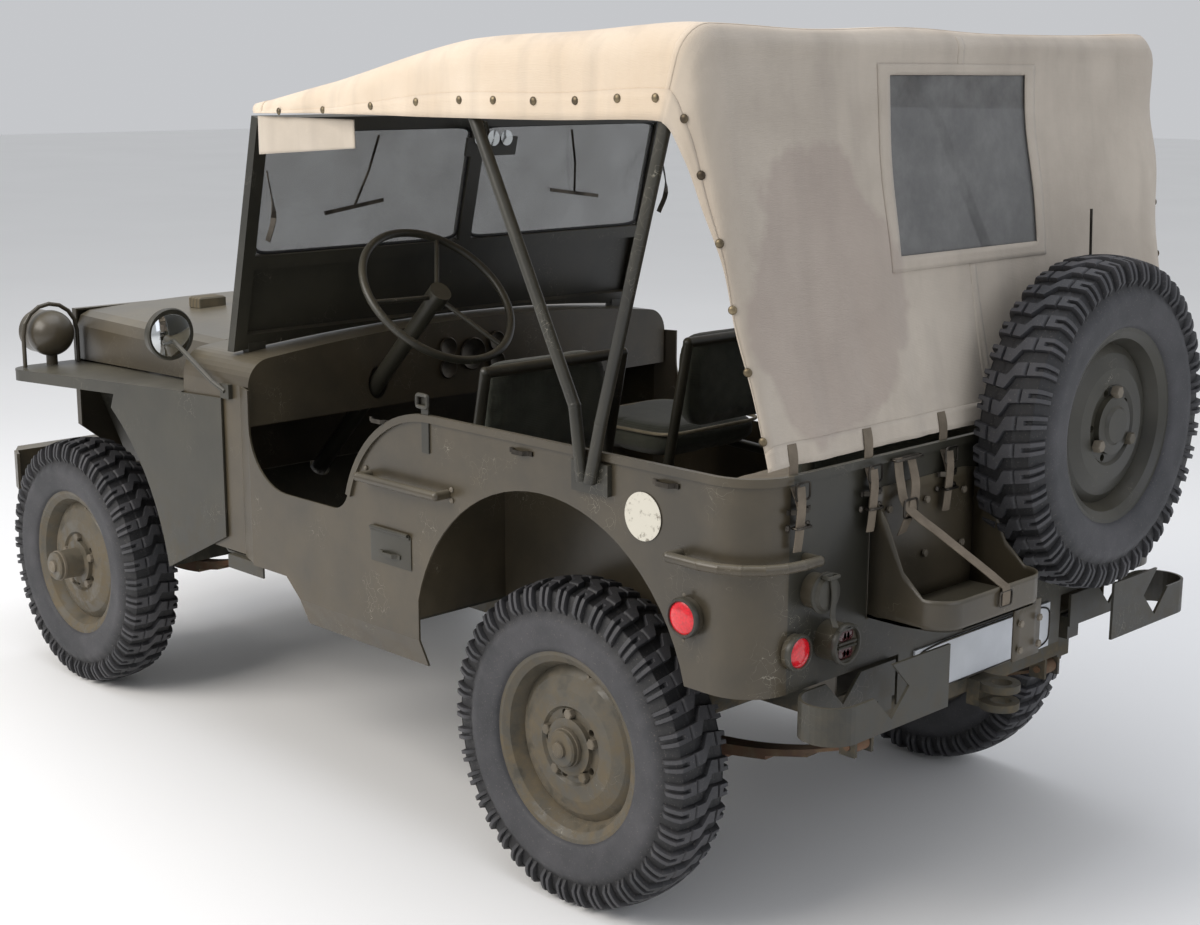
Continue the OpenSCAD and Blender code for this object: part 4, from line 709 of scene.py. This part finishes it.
green_cover = woven_cover("green_seat_canvas", "#3c4036", "#26291f", "#4a4a3e")
beige_cover = woven_cover("beige_seat_canvas", "#a19684", "#857a68", "#6f6555")
tan_cord = woven_cover("tan_piping_cord", "#a59c86", "#7d745f", "#5c5443")
pads = []
for side, y0, y1 in (("left", 0.132, 0.528), ("right", -0.528, -0.132)):
    seat = piece("seat_cushion_" + side, pillow((-0.424, y0 + 0.006, 0.768), (-0.052, y1 - 0.006, 0.838)), "root",
                 green_cover)
    stuffed(seat, 0.008)
    back = piece("seat_back_" + side, pillow((-0.499, y0 + 0.006, 0.853), (-0.446, y1 - 0.006, 1.097)), "root",
                 green_cover)
    stuffed(back, 0.007)
    pads += [seat, back]
    piece("seat_piping_" + side, joined(piping((-0.43, y0, 0), (-0.046, y1, 0), 0.829)), "root", tan_cord)
rear = piece("rear_bench_cushion", pillow((-1.316, -0.414, 0.813), (-0.981, 0.414, 0.884)), "root", beige_cover)
stuffed(rear, 0.009, voxel=0.008)
rest_pad = piece("rear_bench_back", pillow((-1.330, -0.414, 0.901), (-1.277, 0.414, 1.077)), "root", green_cover)
stuffed(rest_pad, 0.006, voxel=0.008)
pads += [rear, rest_pad]
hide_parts("seat_pads")


# ---------------------------------------------------------------- wheels
# Pressed steel discs with a bolted hub flange, five nuts and a valve;
# the nuts and flange bolts are bare steel under old olive paint.
def nut(across, height):
    """A hexagon bar with a chamfered top: rings of six corners, each with its own radius and height."""
    r = across / math.sqrt(3)
    t = np.arange(6) * math.pi / 3
    rings = np.array([(r, 0), (r, height * 0.85), (r * 0.86, height)])
    grid = np.stack([rings[:, :1] * np.cos(t), rings[:, :1] * np.sin(t), rings[:, 1:] + 0 * t], -1)
    points, faces = surface(grid, wrap_v=True)
    return points, [f[::-1] for f in faces] + [list(range(12, 18)), list(range(6))[::-1]]


def turned(profile, n=48):
    """A lathe-turned form about Z from (radius, height) pairs running outside from back to front, capped."""
    p = np.asarray(profile, float)
    t = np.linspace(0, 2 * math.pi, n, endpoint=False)
    grid = np.stack([p[:, :1] * np.cos(t), p[:, :1] * np.sin(t), p[:, 1:] + 0 * t], -1)
    points, faces = surface(grid, wrap_v=True)
    m = len(points)
    return points, [f[::-1] for f in faces] + [list(range(m - n, m)), list(range(n))[::-1]]


def ring_of(count, radius, start=0.0):
    """Places on a circle about Z."""
    a = start + np.arange(count) * 2 * math.pi / count
    return np.stack([radius * np.cos(a), radius * np.sin(a), 0 * a], 1)


nut_steel = worn_enamel("painted_nut_steel", "#4a4438", "#7b7264", rough=0.5, chips=1.0, mud=0.6, dust_and_sky_sheen=0.0)
for corner in ("front_left", "front_right", "rear_left", "rear_right"):
    low, high = np.array(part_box("wheel_" + corner))
    sign = 1 if high[1] + low[1] > 0 else -1
    tyre_low, tyre_high = np.array(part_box("tyre_" + corner))
    middle = (tyre_low + tyre_high) / 2
    tip = (high[1] if sign > 0 else low[1]) - middle[1]
    face = np.array([0, sign, 0.0])
    at = lambda ring, out: np.stack([ring[:, 0], np.full(len(ring), out), ring[:, 1]], 1) + middle
    tip = abs(tip)
    parts = [set_along(nut(0.021, 0.014), at(ring_of(5, 0.071, 0.3), sign * 0.040), np.tile(face, (5, 1))),
             set_along(nut(0.012, 0.008), at(ring_of(6, 0.033, 0.2), sign * (tip - 0.013)), np.tile(face, (6, 1))),
             set_along(turned([(0.043, 0), (0.043, 0.007), (0.041, 0.008)]),
                       at(ring_of(1, 0.0), sign * (tip - 0.020)), face[None]),
             set_along(turned([(0.017, 0), (0.017, 0.006), (0.012, 0.009), (0.004, 0.009)], 24),
                       at(ring_of(1, 0.0), sign * tip), face[None]),
             set_along(turned([(0.005, 0), (0.005, 0.022), (0.0035, 0.024), (0.0035, 0.032)], 12),
                       at(ring_of(1, 0.176, 1.9), sign * 0.018), face[None])]
    piece("hub_nuts_" + corner, joined(*parts), "wheel_" + corner, nut_steel, sharp=30)
low, high = np.array(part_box("spare_wheel"))
middle = np.array([low[0] + 0.010, (low[1] + high[1]) / 2, (low[2] + high[2]) / 2])
back = np.array([[-1.0, 0, 0]])
spare_nuts = np.stack([np.full(3, -1.614), *(ring_of(3, 0.071, 1.57)[:, :2] + middle[1:]).T], 1)
piece("spare_nuts", joined(set_along(nut(0.024, 0.016), spare_nuts, np.tile(back, (3, 1)))), "root", nut_steel)


# ---------------------------------------------------------------- can carrier
# A tray of 3.6 mm steel plate with a turned-up lip, rounded at its two outer corners,
# whose cheeks fall from a back plate bolted to the tail panel. A bracket hangs under it.
def lined(name, grid, thick, body, material):
    """A plate: a surface given its thickness on one side."""
    obj = piece(name, surface(grid), body, material)
    wall = obj.modifiers.new("plate thickness", "SOLIDIFY")
    wall.thickness, wall.offset = thick, -1
    return obj


low, high = np.array(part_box("can_carrier"))
x_back, x_front, y_left, y_right, z_floor = high[0] - 0.002, low[0], high[1], low[1], low[2]
turn = np.linspace(0, math.pi / 2, 9)[1:-1]
corner_r = 0.055
plan = np.concatenate([
    [[x_back, y_left], [x_back - 0.04, y_left], [x_back - 0.08, y_left], [x_front + corner_r, y_left]],
    np.stack([x_front + corner_r - corner_r * np.sin(turn), y_left - corner_r + corner_r * np.cos(turn)], 1),
    [[x_front, y_left - corner_r], [x_front, (y_left + y_right) / 2], [x_front, y_right + corner_r]],
    np.stack([x_front + corner_r - corner_r * np.cos(turn), y_right + corner_r - corner_r * np.sin(turn)], 1),
    [[x_front + corner_r, y_right], [x_back - 0.08, y_right], [x_back - 0.04, y_right], [x_back, y_right]]])
rise = np.interp(plan[:, 0], [x_front, x_back - 0.10, x_back - 0.02, x_back], [0.060, 0.060, 0.235, 0.246])
level = np.linspace(0, 1, 7)
wall_grid = np.stack([np.tile(plan[:, :1], (1, 7)), np.tile(plan[:, 1:], (1, 7)), z_floor + rise[:, None] * level],
                     -1)
floor_grid = np.stack([plan[:, :1] * (1 - level) + x_back * level, np.tile(plan[:, 1:], (1, 7)),
                       np.full((len(plan), 7), z_floor)], -1)
by, bz = np.meshgrid(np.linspace(y_right, y_left, 9), np.linspace(z_floor, high[2], 9), indexing="ij")
back_grid = np.stack([np.full_like(by, x_back), by,
                      bz - 0.03 * np.clip(np.abs(by - by.mean()) / 0.175 - 0.75, 0, 1)], -1)
tray_part = joined(surface(wall_grid), surface(floor_grid[:, ::-1]), surface(back_grid[::-1]))
tray = piece("can_tray", tray_part, "root", olive_drab)
wall = tray.modifiers.new("plate thickness", "SOLIDIFY")
wall.thickness, wall.offset = 0.0036, -1
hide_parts("can_carrier")
hy, hz = np.meshgrid(np.linspace(0.078, 0.172, 5), np.linspace(0.598, 0.712, 6), indexing="ij")
lined("can_bracket", np.stack([np.full_like(hy, x_front + 0.004), hy, hz], -1)[::-1], 0.004, "root", olive_drab)
bolts_at = [(x_front - 0.0005, y, z) for y in (0.092, 0.158) for z in (0.622, 0.676)]
bolts_at += [(x_back - 0.004, y, z) for y in (0.11, 0.237, 0.36) for z in (0.80, 0.91)]
piece("can_bolts", set_along(nut(0.013, 0.006), bolts_at, np.tile([[-1.0, 0, 0]], (len(bolts_at), 1))), "root",
      nut_steel)


# ---------------------------------------------------------------- straps
# Brown cotton webbing 26 mm wide: six short straps buckle the curtain's foot to loops on the
# tail, and a long one runs from a bracket above the can tray down over its lip.
webbing, tree, out = new_material("brown_cotton_webbing")
where = add_node(tree, "TexCoord").outputs["Object"]
fade = add_node(tree, "TexNoise", {"Vector": where}, Scale=30.0, Detail=5.0)
tone = ramp(tree, fade.outputs["Fac"], "#4f473b", "#837767")
rib = add_node(tree, "TexWave", {"Vector": where}, wave_type="BANDS", bands_direction="Z", Scale=130.0)   # 2.4 mm ribs
bump = add_node(tree, "Bump", {"Height": rib.outputs["Fac"]}, Strength=0.4, Distance=0.0008)
shader = add_node(tree, "BsdfPrincipled", {"Base Color": tone.outputs[0], "Normal": bump.outputs[0]},
                  Roughness=0.85)
tree.links.new(shader.outputs[0], out.inputs[0])
blackened = bare_metal("blackened_buckle_steel", "#5a554e", "#2b2926", 0.42)


def ribbon(line, width, thick, across=(0, 1.0, 0)):
    """A flat band: a rounded flat section carried along a line, its width along one direction."""
    line, across = np.asarray(line, float), np.asarray(across, float)
    across = np.broadcast_to(across, line.shape)
    ahead = np.gradient(line, axis=0)
    ahead /= np.linalg.norm(ahead, axis=1, keepdims=True)
    side = across - (across * ahead).sum(1, keepdims=True) * ahead
    side /= np.linalg.norm(side, axis=1, keepdims=True)
    up = np.cross(ahead, side)
    w, h = width / 2, thick / 2
    section = np.array([(-w, -h * .4), (-w * .94, -h), (w * .94, -h), (w, -h * .4), (w, h * .4), (w * .94, h),
                        (-w * .94, h), (-w, h * .4)])
    grid = line[:, None] + section[None, :, :1] * side[:, None] + section[None, :, 1:] * up[:, None]
    points, faces = surface(grid, wrap_v=True)
    n = len(line) * 8
    return points, [f[::-1] for f in faces] + [list(range(8)), list(range(n - 8, n))[::-1]]


def bar_loop(middle, width, height, r, out=(-1.0, 0, 0), across=(0, 1.0, 0)):
    """A rectangular wire loop standing in the plane of across and its own height."""
    t = np.linspace(0, 2 * math.pi, 40, endpoint=False)
    a, out = np.asarray(across, float), np.asarray(out, float)
    b = np.cross(out, a)
    u, v = squarish(t, 0.35)
    u, v = u * width / 2, v * height / 2
    line = np.asarray(middle, float) + u[:, None] * a + v[:, None] * b
    return tube(line, r, 8, closed=True, up=out)


BACK = (-1.0, 0, 0)                                 # the way the tail's fittings face
bands, buckles = [], []
for y in STRAP_Y:
    cols_y = canopy(np.full(200, 1.955), np.linspace(-0.699, 0.699, 200))
    start = cols_y[np.argmin(np.abs(cols_y[:, 1] - y))]
    foot = canopy(np.full(200, 1.99), np.linspace(-0.699, 0.699, 200))
    foot = foot[np.argmin(np.abs(foot[:, 1] - y))]
    line = through([start + (-0.0045, 0, 0), (start + foot) / 2 + (-0.0065, 0, 0), foot + (-0.0065, 0, 0),
                    (foot[0] - 0.009, y, 1.005), (-1.4905, y, 0.965), (-1.4895, y, 0.925)], 26)
    line[:, 1] = y
    bands.append(ribbon(line, 0.026, 0.0022))
    tail_end = through([(-1.492, y + 0.004, 1.000), (-1.4965, y + 0.005, 0.965), (-1.495, y + 0.009, 0.905),
                        (-1.493, y + 0.011, 0.880)], 14)
    bands.append(ribbon(tail_end, 0.024, 0.0022))
    buckles.append(bar_loop((-1.4945, y, 0.992), 0.040, 0.032, 0.0022))
    buckles.append(bar_loop((-1.4935, y, 0.925), 0.040, 0.016, 0.0026, out=(0, 0, 1.0)))
    buckles.append(set_along(dome(0.007, 0.004), [(-1.4835, y + d, 0.925) for d in (-0.028, 0.028)], [BACK] * 2))
piece("curtain_straps", joined(*bands), "root", webbing)
piece("curtain_buckles", joined(*buckles), "root", blackened)
long_line = through([(-1.489, 0.345, 1.010), (-1.497, 0.345, 0.965), (-1.510, 0.335, 0.915), (-1.560, 0.290, 0.860),
                     (-1.625, 0.245, 0.800), (-1.655, 0.225, 0.7715), (-1.6665, 0.222, 0.762),
                     (-1.6660, 0.222, 0.725)], 48)
short_line = through([(-1.4885, 0.300, 1.000), (-1.502, 0.302, 0.955), (-1.511, 0.320, 0.915),
                      (-1.507, 0.338, 0.880), (-1.497, 0.335, 0.860)], 30)
piece("can_strap", joined(ribbon(long_line, 0.026, 0.0024), ribbon(short_line, 0.026, 0.0024)), "root", webbing)
can_wire = [bar_loop((-1.512, 0.329, 0.912), 0.042, 0.036, 0.0024),
            bar_loop((-1.4945, 0.322, 1.008), 0.085, 0.014, 0.003, out=(0, 0, 1.0)),
            bar_loop((-1.6665, 0.222, 0.742), 0.040, 0.030, 0.0022)]
piece("can_strap_buckles", joined(*can_wire), "root", blackened)


# ---------------------------------------------------------------- tail lamps and reflectors
# Moulded red lenses in pressed bezels, a slotted tail lamp, a trailer socket with
# a spring flap, and a blank pressed aluminium number plate with a dark edge.
red_lens, tree, out = new_material("moulded_red_lens")
where = add_node(tree, "TexCoord").outputs["Object"]
prism = add_node(tree, "TexVoronoi", {"Vector": where}, Scale=190.0)                       # 5 mm reflecting prisms
tone = ramp(tree, prism.outputs["Distance"], "#e2061f", "#b40518")
bump = add_node(tree, "Bump", {"Height": prism.outputs["Distance"]}, Strength=0.3, Distance=0.0008)
shader = add_node(tree, "BsdfPrincipled", {"Base Color": tone.outputs[0], "Normal": bump.outputs[0]},
                  Roughness=0.22,
                  IOR=1.49, Coat_Weight=0.6, Coat_Roughness=0.08)
tree.links.new(shader.outputs[0], out.inputs[0])
dark_lens = red_lens.copy()
dark_lens.name = "smoked_red_lens"
for node in dark_lens.node_tree.nodes:
    if node.bl_idname == "ShaderNodeValToRGB":
        node.color_ramp.elements[0].color, node.color_ramp.elements[1].color = srgb("#4a1a1e"), srgb("#2c1416")

bezel = lambda r: turned([(r + 0.002, 0), (r + 0.002, 0.006), (r, 0.010), (r - 0.004, 0.011), (r - 0.006, 0.007),
                          (r - 0.006, 0.003)], 40)
lens = lambda r: turned([(r, 0.002), (r, 0.006), (r * 0.8, 0.009), (r * 0.45, 0.0105), (r * 0.1, 0.011)], 40)
lamps, glass, dark, trims = [], [], [], []
for sign in (1, -1):
    lamps.append(set_along(bezel(0.037), [(-1.321, sign * 0.762, 0.742)], [(0, sign, 0)]))
    glass.append(set_along(lens(0.0315), [(-1.321, sign * 0.763, 0.742)], [(0, sign, 0)]))
    lamps.append(set_along(bezel(0.034), [(-1.487, sign * 0.634, 0.684)], [BACK]))
    glass.append(set_along(lens(0.029), [(-1.488, sign * 0.634, 0.684)], [BACK]))
    lamps.append(set_along(bezel(0.039), [(-1.519, sign * 0.534, 0.686)], [BACK]))
    for dz in (0.017, -0.017):
        dark.append(set_along(turned([(0.0115, 0), (0.0115, 0.002), (0.009, 0.0035)], 24),
                              [(-1.521, sign * 0.534 + d, 0.686 + dz) for d in (-0.010, 0.0, 0.010)], [BACK] * 3))
    for dz in (-0.004, 0.004, 0.030, -0.030):
        lamps.append(ribbon(np.array([(-1.526, sign * 0.534 + d, 0.686 + dz) for d in np.linspace(-0.027, 0.027,
                                                                                                  5)]), 0.004,
                            0.004, (0, 0, 1.0)))
    for side in (-1, 1):
        trims.append(((-1.321, sign * 0.7635, 0.742 + side * 0.044), (0, sign, 0)))
# The bezels take the darker olive enamel, which is painted shade.
piece("lamp_bezels", joined(*lamps), "root", shaded_olive_drab)
piece("red_reflectors", joined(*glass), "root", red_lens)
piece("tail_lamp_slots", joined(*dark), "root", dark_lens)
piece("reflector_screws", set_along(dome(0.0045, 0.0025, 12), *zip(*trims)), "root", nut_steel)
socket_at = np.array([-1.505, 0.582, 0.792])
piece("trailer_socket", joined(
    set_along(turned([(0.040, 0), (0.040, 0.004), (0.034, 0.006), (0.031, 0.014), (0.024, 0.017), (0.008, 0.018)],
                     40), [socket_at], [BACK]),
    bar_loop(socket_at + (-0.016, 0, 0.034), 0.030, 0.016, 0.004, out=(0, 0, 1.0)),
    ribbon(through([socket_at + (-0.020, 0, 0.030), socket_at + (-0.024, 0, 0), socket_at + (-0.022, 0, -0.040),
                    socket_at + (-0.034, 0.006, -0.058)], 16), 0.014, 0.003)),
      "root", chassis_black)

plate_metal, tree, out = new_material("painted_plate_aluminium")
where = add_node(tree, "TexCoord").outputs["Object"]
film = add_node(tree, "TexNoise", {"Vector": where}, Scale=14.0, Detail=6.0)
tone = ramp(tree, film.outputs["Fac"], "#a9adb1", "#c9ccd0")
dust = add_node(tree, "Bump", {"Height": film.outputs["Fac"]}, Strength=0.1, Distance=0.001)
shader = add_node(tree, "BsdfPrincipled", {"Base Color": tone.outputs[0], "Normal": dust.outputs[0]}, Roughness=0.4)
tree.links.new(shader.outputs[0], out.inputs[0])
finish(plate_metal, "number_plate")
low, high = np.array(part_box("number_plate"))
rim = bar_loop(((low[0] - 0.0005), 0, (low[2] + high[2]) / 2), 0.498, 0.098, 0.0022)
piece("number_plate_edge", rim, "root", blackened)


# ---------------------------------------------------------------- windscreen
# Two flat panes in a black rubber bead, each with a hand wiper, held in the painted
# frame by slotted arms, and a wavy canvas flap hangs from the roof's front left edge.
glass_tint, tree, out = new_material("windscreen_glass")
where = add_node(tree, "TexCoord").outputs["Object"]
haze = add_node(tree, "TexNoise", {"Vector": where}, Scale=6.0, Detail=6.0)
milky = add_node(tree, "MapRange", {"Value": haze.outputs["Fac"]}, From_Min=0.35, From_Max=0.75, To_Min=0.10,
                 To_Max=0.26)
clear = add_node(tree, "BsdfPrincipled", Base_Color=srgb("#5d6163"), Roughness=0.08, Alpha=0.42, IOR=1.45)
dusty_film = add_node(tree, "BsdfPrincipled", Base_Color=srgb("#8d8b85"), Roughness=0.7)
mix = add_node(tree, "MixShader", {0: milky.outputs[0], 1: clear.outputs[0], 2: dusty_film.outputs[0]})
tree.links.new(mix.outputs[0], out.inputs[0])
finish(glass_tint, "windshield_glass")
black_rubber, tree, out = new_material("black_sealing_rubber")
where = add_node(tree, "TexCoord").outputs["Object"]
bloom = add_node(tree, "TexNoise", {"Vector": where}, Scale=60.0, Detail=4.0)
tone = ramp(tree, bloom.outputs["Fac"], "#17181a", "#2a2b2d")
shader = add_node(tree, "BsdfPrincipled", {"Base Color": tone.outputs[0]}, Roughness=0.6)
tree.links.new(shader.outputs[0], out.inputs[0])

low, high = np.array(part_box("windshield_glass"))
lean_to = lambda z: np.interp(z, [low[2], high[2]], [high[0] - 0.003, low[0] + 0.003])
beads, arms, blades = [], [], []
ring_t = np.linspace(0, 2 * math.pi, 64, endpoint=False)
for sign in (1, -1):
    u, v = squarish(ring_t, 0.12)
    y, z = sign * (0.3405 + 0.3190 * u), (low[2] + high[2]) / 2 + (high[2] - low[2]) * 0.493 * v
    beads.append(tube(np.stack([lean_to(z), y, z], 1), 0.0045, 8, closed=True, up=(1.0, 0, 0.25)))
    arm_y = sign * 0.672
    arms.append(ribbon(through([(0.112, arm_y, 1.50), (0.090, arm_y, 1.40), (0.118, arm_y, 1.335)], 12), 0.014,
                       0.003, (0, 0.2, 1.0)))
    pivot = np.array([float(lean_to(1.575)) - 0.012, sign * 0.33, 1.575])
    tip = np.array([float(lean_to(1.40)) - 0.012, sign * 0.38, 1.40])
    blades.append(tube(np.array([pivot, (pivot + tip) / 2 - (0.008, 0, 0), tip]), 0.0032, 8, up=(0, 1.0, 0)))
    blades.append(ribbon(np.array([tip + (0, -sign * 0.09, 0.012), tip, tip + (0, sign * 0.09, -0.012)]), 0.010,
                         0.006, (0, 0, 1.0)))
piece("glass_beads", joined(*beads), "root", black_rubber)
piece("windscreen_arms", joined(*arms), "root", blackened)
piece("wipers", joined(*blades), "root", blackened)
fx, fz = np.meshgrid(np.linspace(0.095, -0.27, 40), np.linspace(0, 1, 12), indexing="ij")
flap_wave = 0.004 * np.sin(fx * 34) * fz
lined("side_flap", np.stack([fx, 0.704 + flap_wave, 1.628 - fz * (0.062 + 0.026 * (fx + 0.27) / 0.365)], -1)[::-1],
      0.002, "root", canvas)


# ---------------------------------------------------------------- front lamps and mirrors
# Pressed lamp shells painted with the body, with moulded clear lenses in rolled rims,
# and silvered mirror glass in the round mirror and the one inside.
clear_lens, tree, out = new_material("moulded_clear_lens")
where = add_node(tree, "TexCoord").outputs["Object"]
# 17 mm flutes
flutes = add_node(tree, "TexWave", {"Vector": where}, wave_type="BANDS", bands_direction="Y", Scale=18.0)
bump = add_node(tree, "Bump", {"Height": flutes.outputs["Fac"]}, Strength=0.5, Distance=0.002)
shader = add_node(tree, "BsdfPrincipled", {"Normal": bump.outputs[0]}, Base_Color=srgb("#c9cdcc"), Roughness=0.12,
                  Metallic=0.55,
                  Coat_Weight=1.0, Coat_Roughness=0.04)
tree.links.new(shader.outputs[0], out.inputs[0])
silvered, tree, out = new_material("silvered_mirror_glass")
shader = add_node(tree, "BsdfPrincipled", Base_Color=srgb("#cfd2d2"), Roughness=0.06, Metallic=1.0)
tree.links.new(shader.outputs[0], out.inputs[0])
lens_disc = lambda r: turned([(r, 0), (r, 0.003), (r * 0.8, 0.009), (r * 0.45, 0.014), (r * 0.05, 0.016)], 48)
piece("headlamp_lenses", joined(set_along(lens_disc(0.074), [(1.359, s * 0.397, 0.894) for s in (1, -1)],
                                          [(1.0, 0, 0)] * 2)),
      "root", clear_lens)
piece("headlamp_rims", joined(set_along(turned([(0.085, -0.004), (0.087, 0.004), (0.083, 0.010), (0.075, 0.009),
                                                (0.073, 0.003)], 48),
      [(1.358, s * 0.397, 0.894) for s in (1, -1)], [(1.0, 0, 0)] * 2)), "root", olive_drab)
piece("mirror_glass", set_along(lens_disc(0.058), [(0.4480, 0.746, 1.0855)], [BACK]), "root", silvered)
# The rim takes the darker olive enamel, which is painted shade.
piece("mirror_rim", set_along(turned([(0.0635, -0.002), (0.066, 0.002), (0.063, 0.006), (0.057, 0.005),
                                      (0.056, 0.001)], 48),
      [(0.4480, 0.746, 1.0855)], [BACK]), "root", shaded_olive_drab)
piece("mirror_inside_glass", set_along(turned([(0.0200, 0), (0.0200, 0.001), (0.001, 0.0015)], 24),
      [(0.0690, y, 1.5615) for y in (-0.045, 0.0, 0.045)], [BACK] * 3), "root", silvered)
finish(blackened, "antenna")


# ---------------------------------------------------------------- hood and body fittings
# Folded footman loops, a hardwood windscreen block, the side's white disc, and
# the dashboard's black dials in blackened steel rims.
wood, tree, out = new_material("painted_hardwood")
where = add_node(tree, "TexCoord").outputs["Object"]
# 16 mm grain
grain = add_node(tree, "TexWave", {"Vector": where}, wave_type="BANDS", bands_direction="X", Scale=20.0,
                 Distortion=4.0)
tone = ramp(tree, grain.outputs["Fac"], "#4f4a3b", "#6b5f49")
shader = add_node(tree, "BsdfPrincipled", {"Base Color": tone.outputs[0]}, Roughness=0.6)
tree.links.new(shader.outputs[0], out.inputs[0])


def footman(middle, along, out_dir, width=0.046, stand=0.012):
    """A pressed loop for a strap: a low arch between two feet."""
    middle, along, out_dir = (np.asarray(v, float) for v in (middle, along, out_dir))
    t = np.array([-0.72, -0.5, -0.42, -0.34, 0, 0.34, 0.42, 0.5, 0.72])
    h = np.array([0.0016, 0.0016, 0.5 * stand, stand, stand, stand, 0.5 * stand, 0.0016, 0.0016])
    return ribbon(middle + t[:, None] * width * along + h[:, None] * out_dir, 0.010, 0.003,
                  np.cross(along, out_dir))


loops = [footman((x, s * 0.7505, z), (1.0, 0, 0), (0, s, 0)) for s in (1, -1) for x,
         z in ((-0.40, 0.985), (-0.86, 0.985), (-1.26, 0.985))]
loops += [footman((-1.4835, y, 0.955), (0, 1.0, 0), (-1.0, 0, 0)) for y in STRAP_Y]
piece("footman_loops", joined(*loops), "root", blackened)
ends = [((x, s * 0.7515, 0.858 + d), (0, s, 0)) for s in (1, -1) for x in (-0.640, -0.346) for d in (-0.012, 0.012)]
piece("handle_bolts", set_along(dome(0.006, 0.004, 12), *zip(*ends)), "root", nut_steel)


def on_top(node, x, y):
    """The height of a CAD node's top at a place."""
    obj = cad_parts[node]
    back = obj.matrix_world.inverted()
    at = obj.ray_cast(back @ Vector((x, y, 3)), back.to_3x3() @ Vector((0, 0, -1)))[1]
    return (obj.matrix_world @ at)[2]


def brick(low, high, edge=0.004):
    """A block with rounded upright corners."""
    low, high = np.asarray(low, float), np.asarray(high, float)
    t = np.linspace(0, 2 * math.pi, 48, endpoint=False)
    half, middle = (high - low) / 2, (high + low) / 2
    side = np.stack(squarish(t, 0.12), 1)
    rows = [(1 - edge / half[0], low[2]), (1, low[2] + edge), (1, high[2] - edge), (1 - edge / half[0], high[2])]
    grid = np.stack([np.stack([middle[0] + side[:, 0] * half[0] * k, middle[1] + side[:, 1] * half[1] * k,
                               0 * t + z], 1) for k, z in rows])
    points, faces = surface(grid, wrap_v=True)
    return points, [f[::-1] for f in faces] + [list(range(144, 192)), list(range(48))[::-1]]


blocks = []
for y in (0.26, -0.26):
    z = on_top("hood", 1.034, y)
    blocks.append(brick((1.004, y - 0.045, z - 0.004), (1.064, y + 0.045, z + 0.030)))
piece("hood_blocks", joined(*blocks), "hood", wood)
sheath = []
for s in (1, -1):
    sheath.append(ribbon(np.array([(-0.430, s * 0.7515, z) for z in (0.664, 0.700, 0.738)]), 0.142, 0.003,
                         (1.0, 0, 0)))
    sheath.append(ribbon(np.array([(-0.430 + d, s * 0.7535, 0.738) for d in (-0.068, 0, 0.068)]), 0.010, 0.004,
                         (0, 0, 1.0)))
    sheath.append(tube(np.array([(-0.430 + d, s * 0.7560, 0.742) for d in (-0.065, -0.02, 0.02, 0.065)]), 0.0045,
                       10, up=(0, 0, 1.0)))
    sheath.append(footman((-0.430, s * 0.7530, 0.688), (1.0, 0, 0), (0, s, 0), 0.050, 0.010))
    sheath.append(ribbon(np.array([(-0.558, s * 0.7520, z) for z in (0.937, 0.98, 1.03, 1.055)]), 0.024, 0.004,
                         (1.0, 0, 0)))
    sheath.append(bar_loop((-0.558, s * 0.7600, 1.050), 0.034, 0.026, 0.0045, out=(0, s, 0), across=(1.0, 0, 0)))
# These take the darker olive enamel, which is painted shade.
piece("tool_sheath_and_bow_rests", joined(*sheath), "root", shaded_olive_drab)

white_paint, tree, out = new_material("chalky_white_paint")
where = add_node(tree, "TexCoord").outputs["Object"]
worn = add_node(tree, "TexNoise", {"Vector": where}, Scale=45.0, Detail=7.0, Roughness=0.7)
tone = ramp(tree, worn.outputs["Fac"], "#7f796c", "#c9c5b8", 0.36, 0.44)
shader = add_node(tree, "BsdfPrincipled", {"Base Color": tone.outputs[0]}, Roughness=0.75)
tree.links.new(shader.outputs[0], out.inputs[0])
piece("side_discs", set_along(turned([(0.0475, -0.0005), (0.0475, 0.0004), (0.03, 0.0006), (0.001, 0.0006)], 56),
      [(-1.201, s * 0.7522, 0.912) for s in (1, -1)], [(0, s, 0) for s in (1, -1)]), "root", white_paint)
dial_black, tree, out = new_material("black_dial_enamel")
shader = add_node(tree, "BsdfPrincipled", Base_Color=srgb("#15161a"), Roughness=0.25, Coat_Weight=0.7,
                  Coat_Roughness=0.05)
tree.links.new(shader.outputs[0], out.inputs[0])
dial_at = [(0.1385, 0.02, 0.995), (0.1385, 0.105, 1.020), (0.1385, 0.105, 0.965), (0.1385, -0.065, 1.020),
           (0.1385, -0.065, 0.965)]
dial_r = [0.040, 0.024, 0.024, 0.024, 0.024]
dials = [set_along(turned([(r, 0.001), (r, 0.003), (r * 0.05, 0.004)], 40), [p], [BACK]) for p,
         r in zip(dial_at, dial_r)]
rims = [set_along(turned([(r + 0.004, 0), (r + 0.004, 0.004), (r + 0.001, 0.006), (r - 0.002, 0.004)], 40), [p],
                  [BACK])
        for p, r in zip(dial_at, dial_r)]
piece("dashboard_dials", joined(*dials), "root", dial_black)
piece("dial_rims", joined(*rims), "root", blackened)
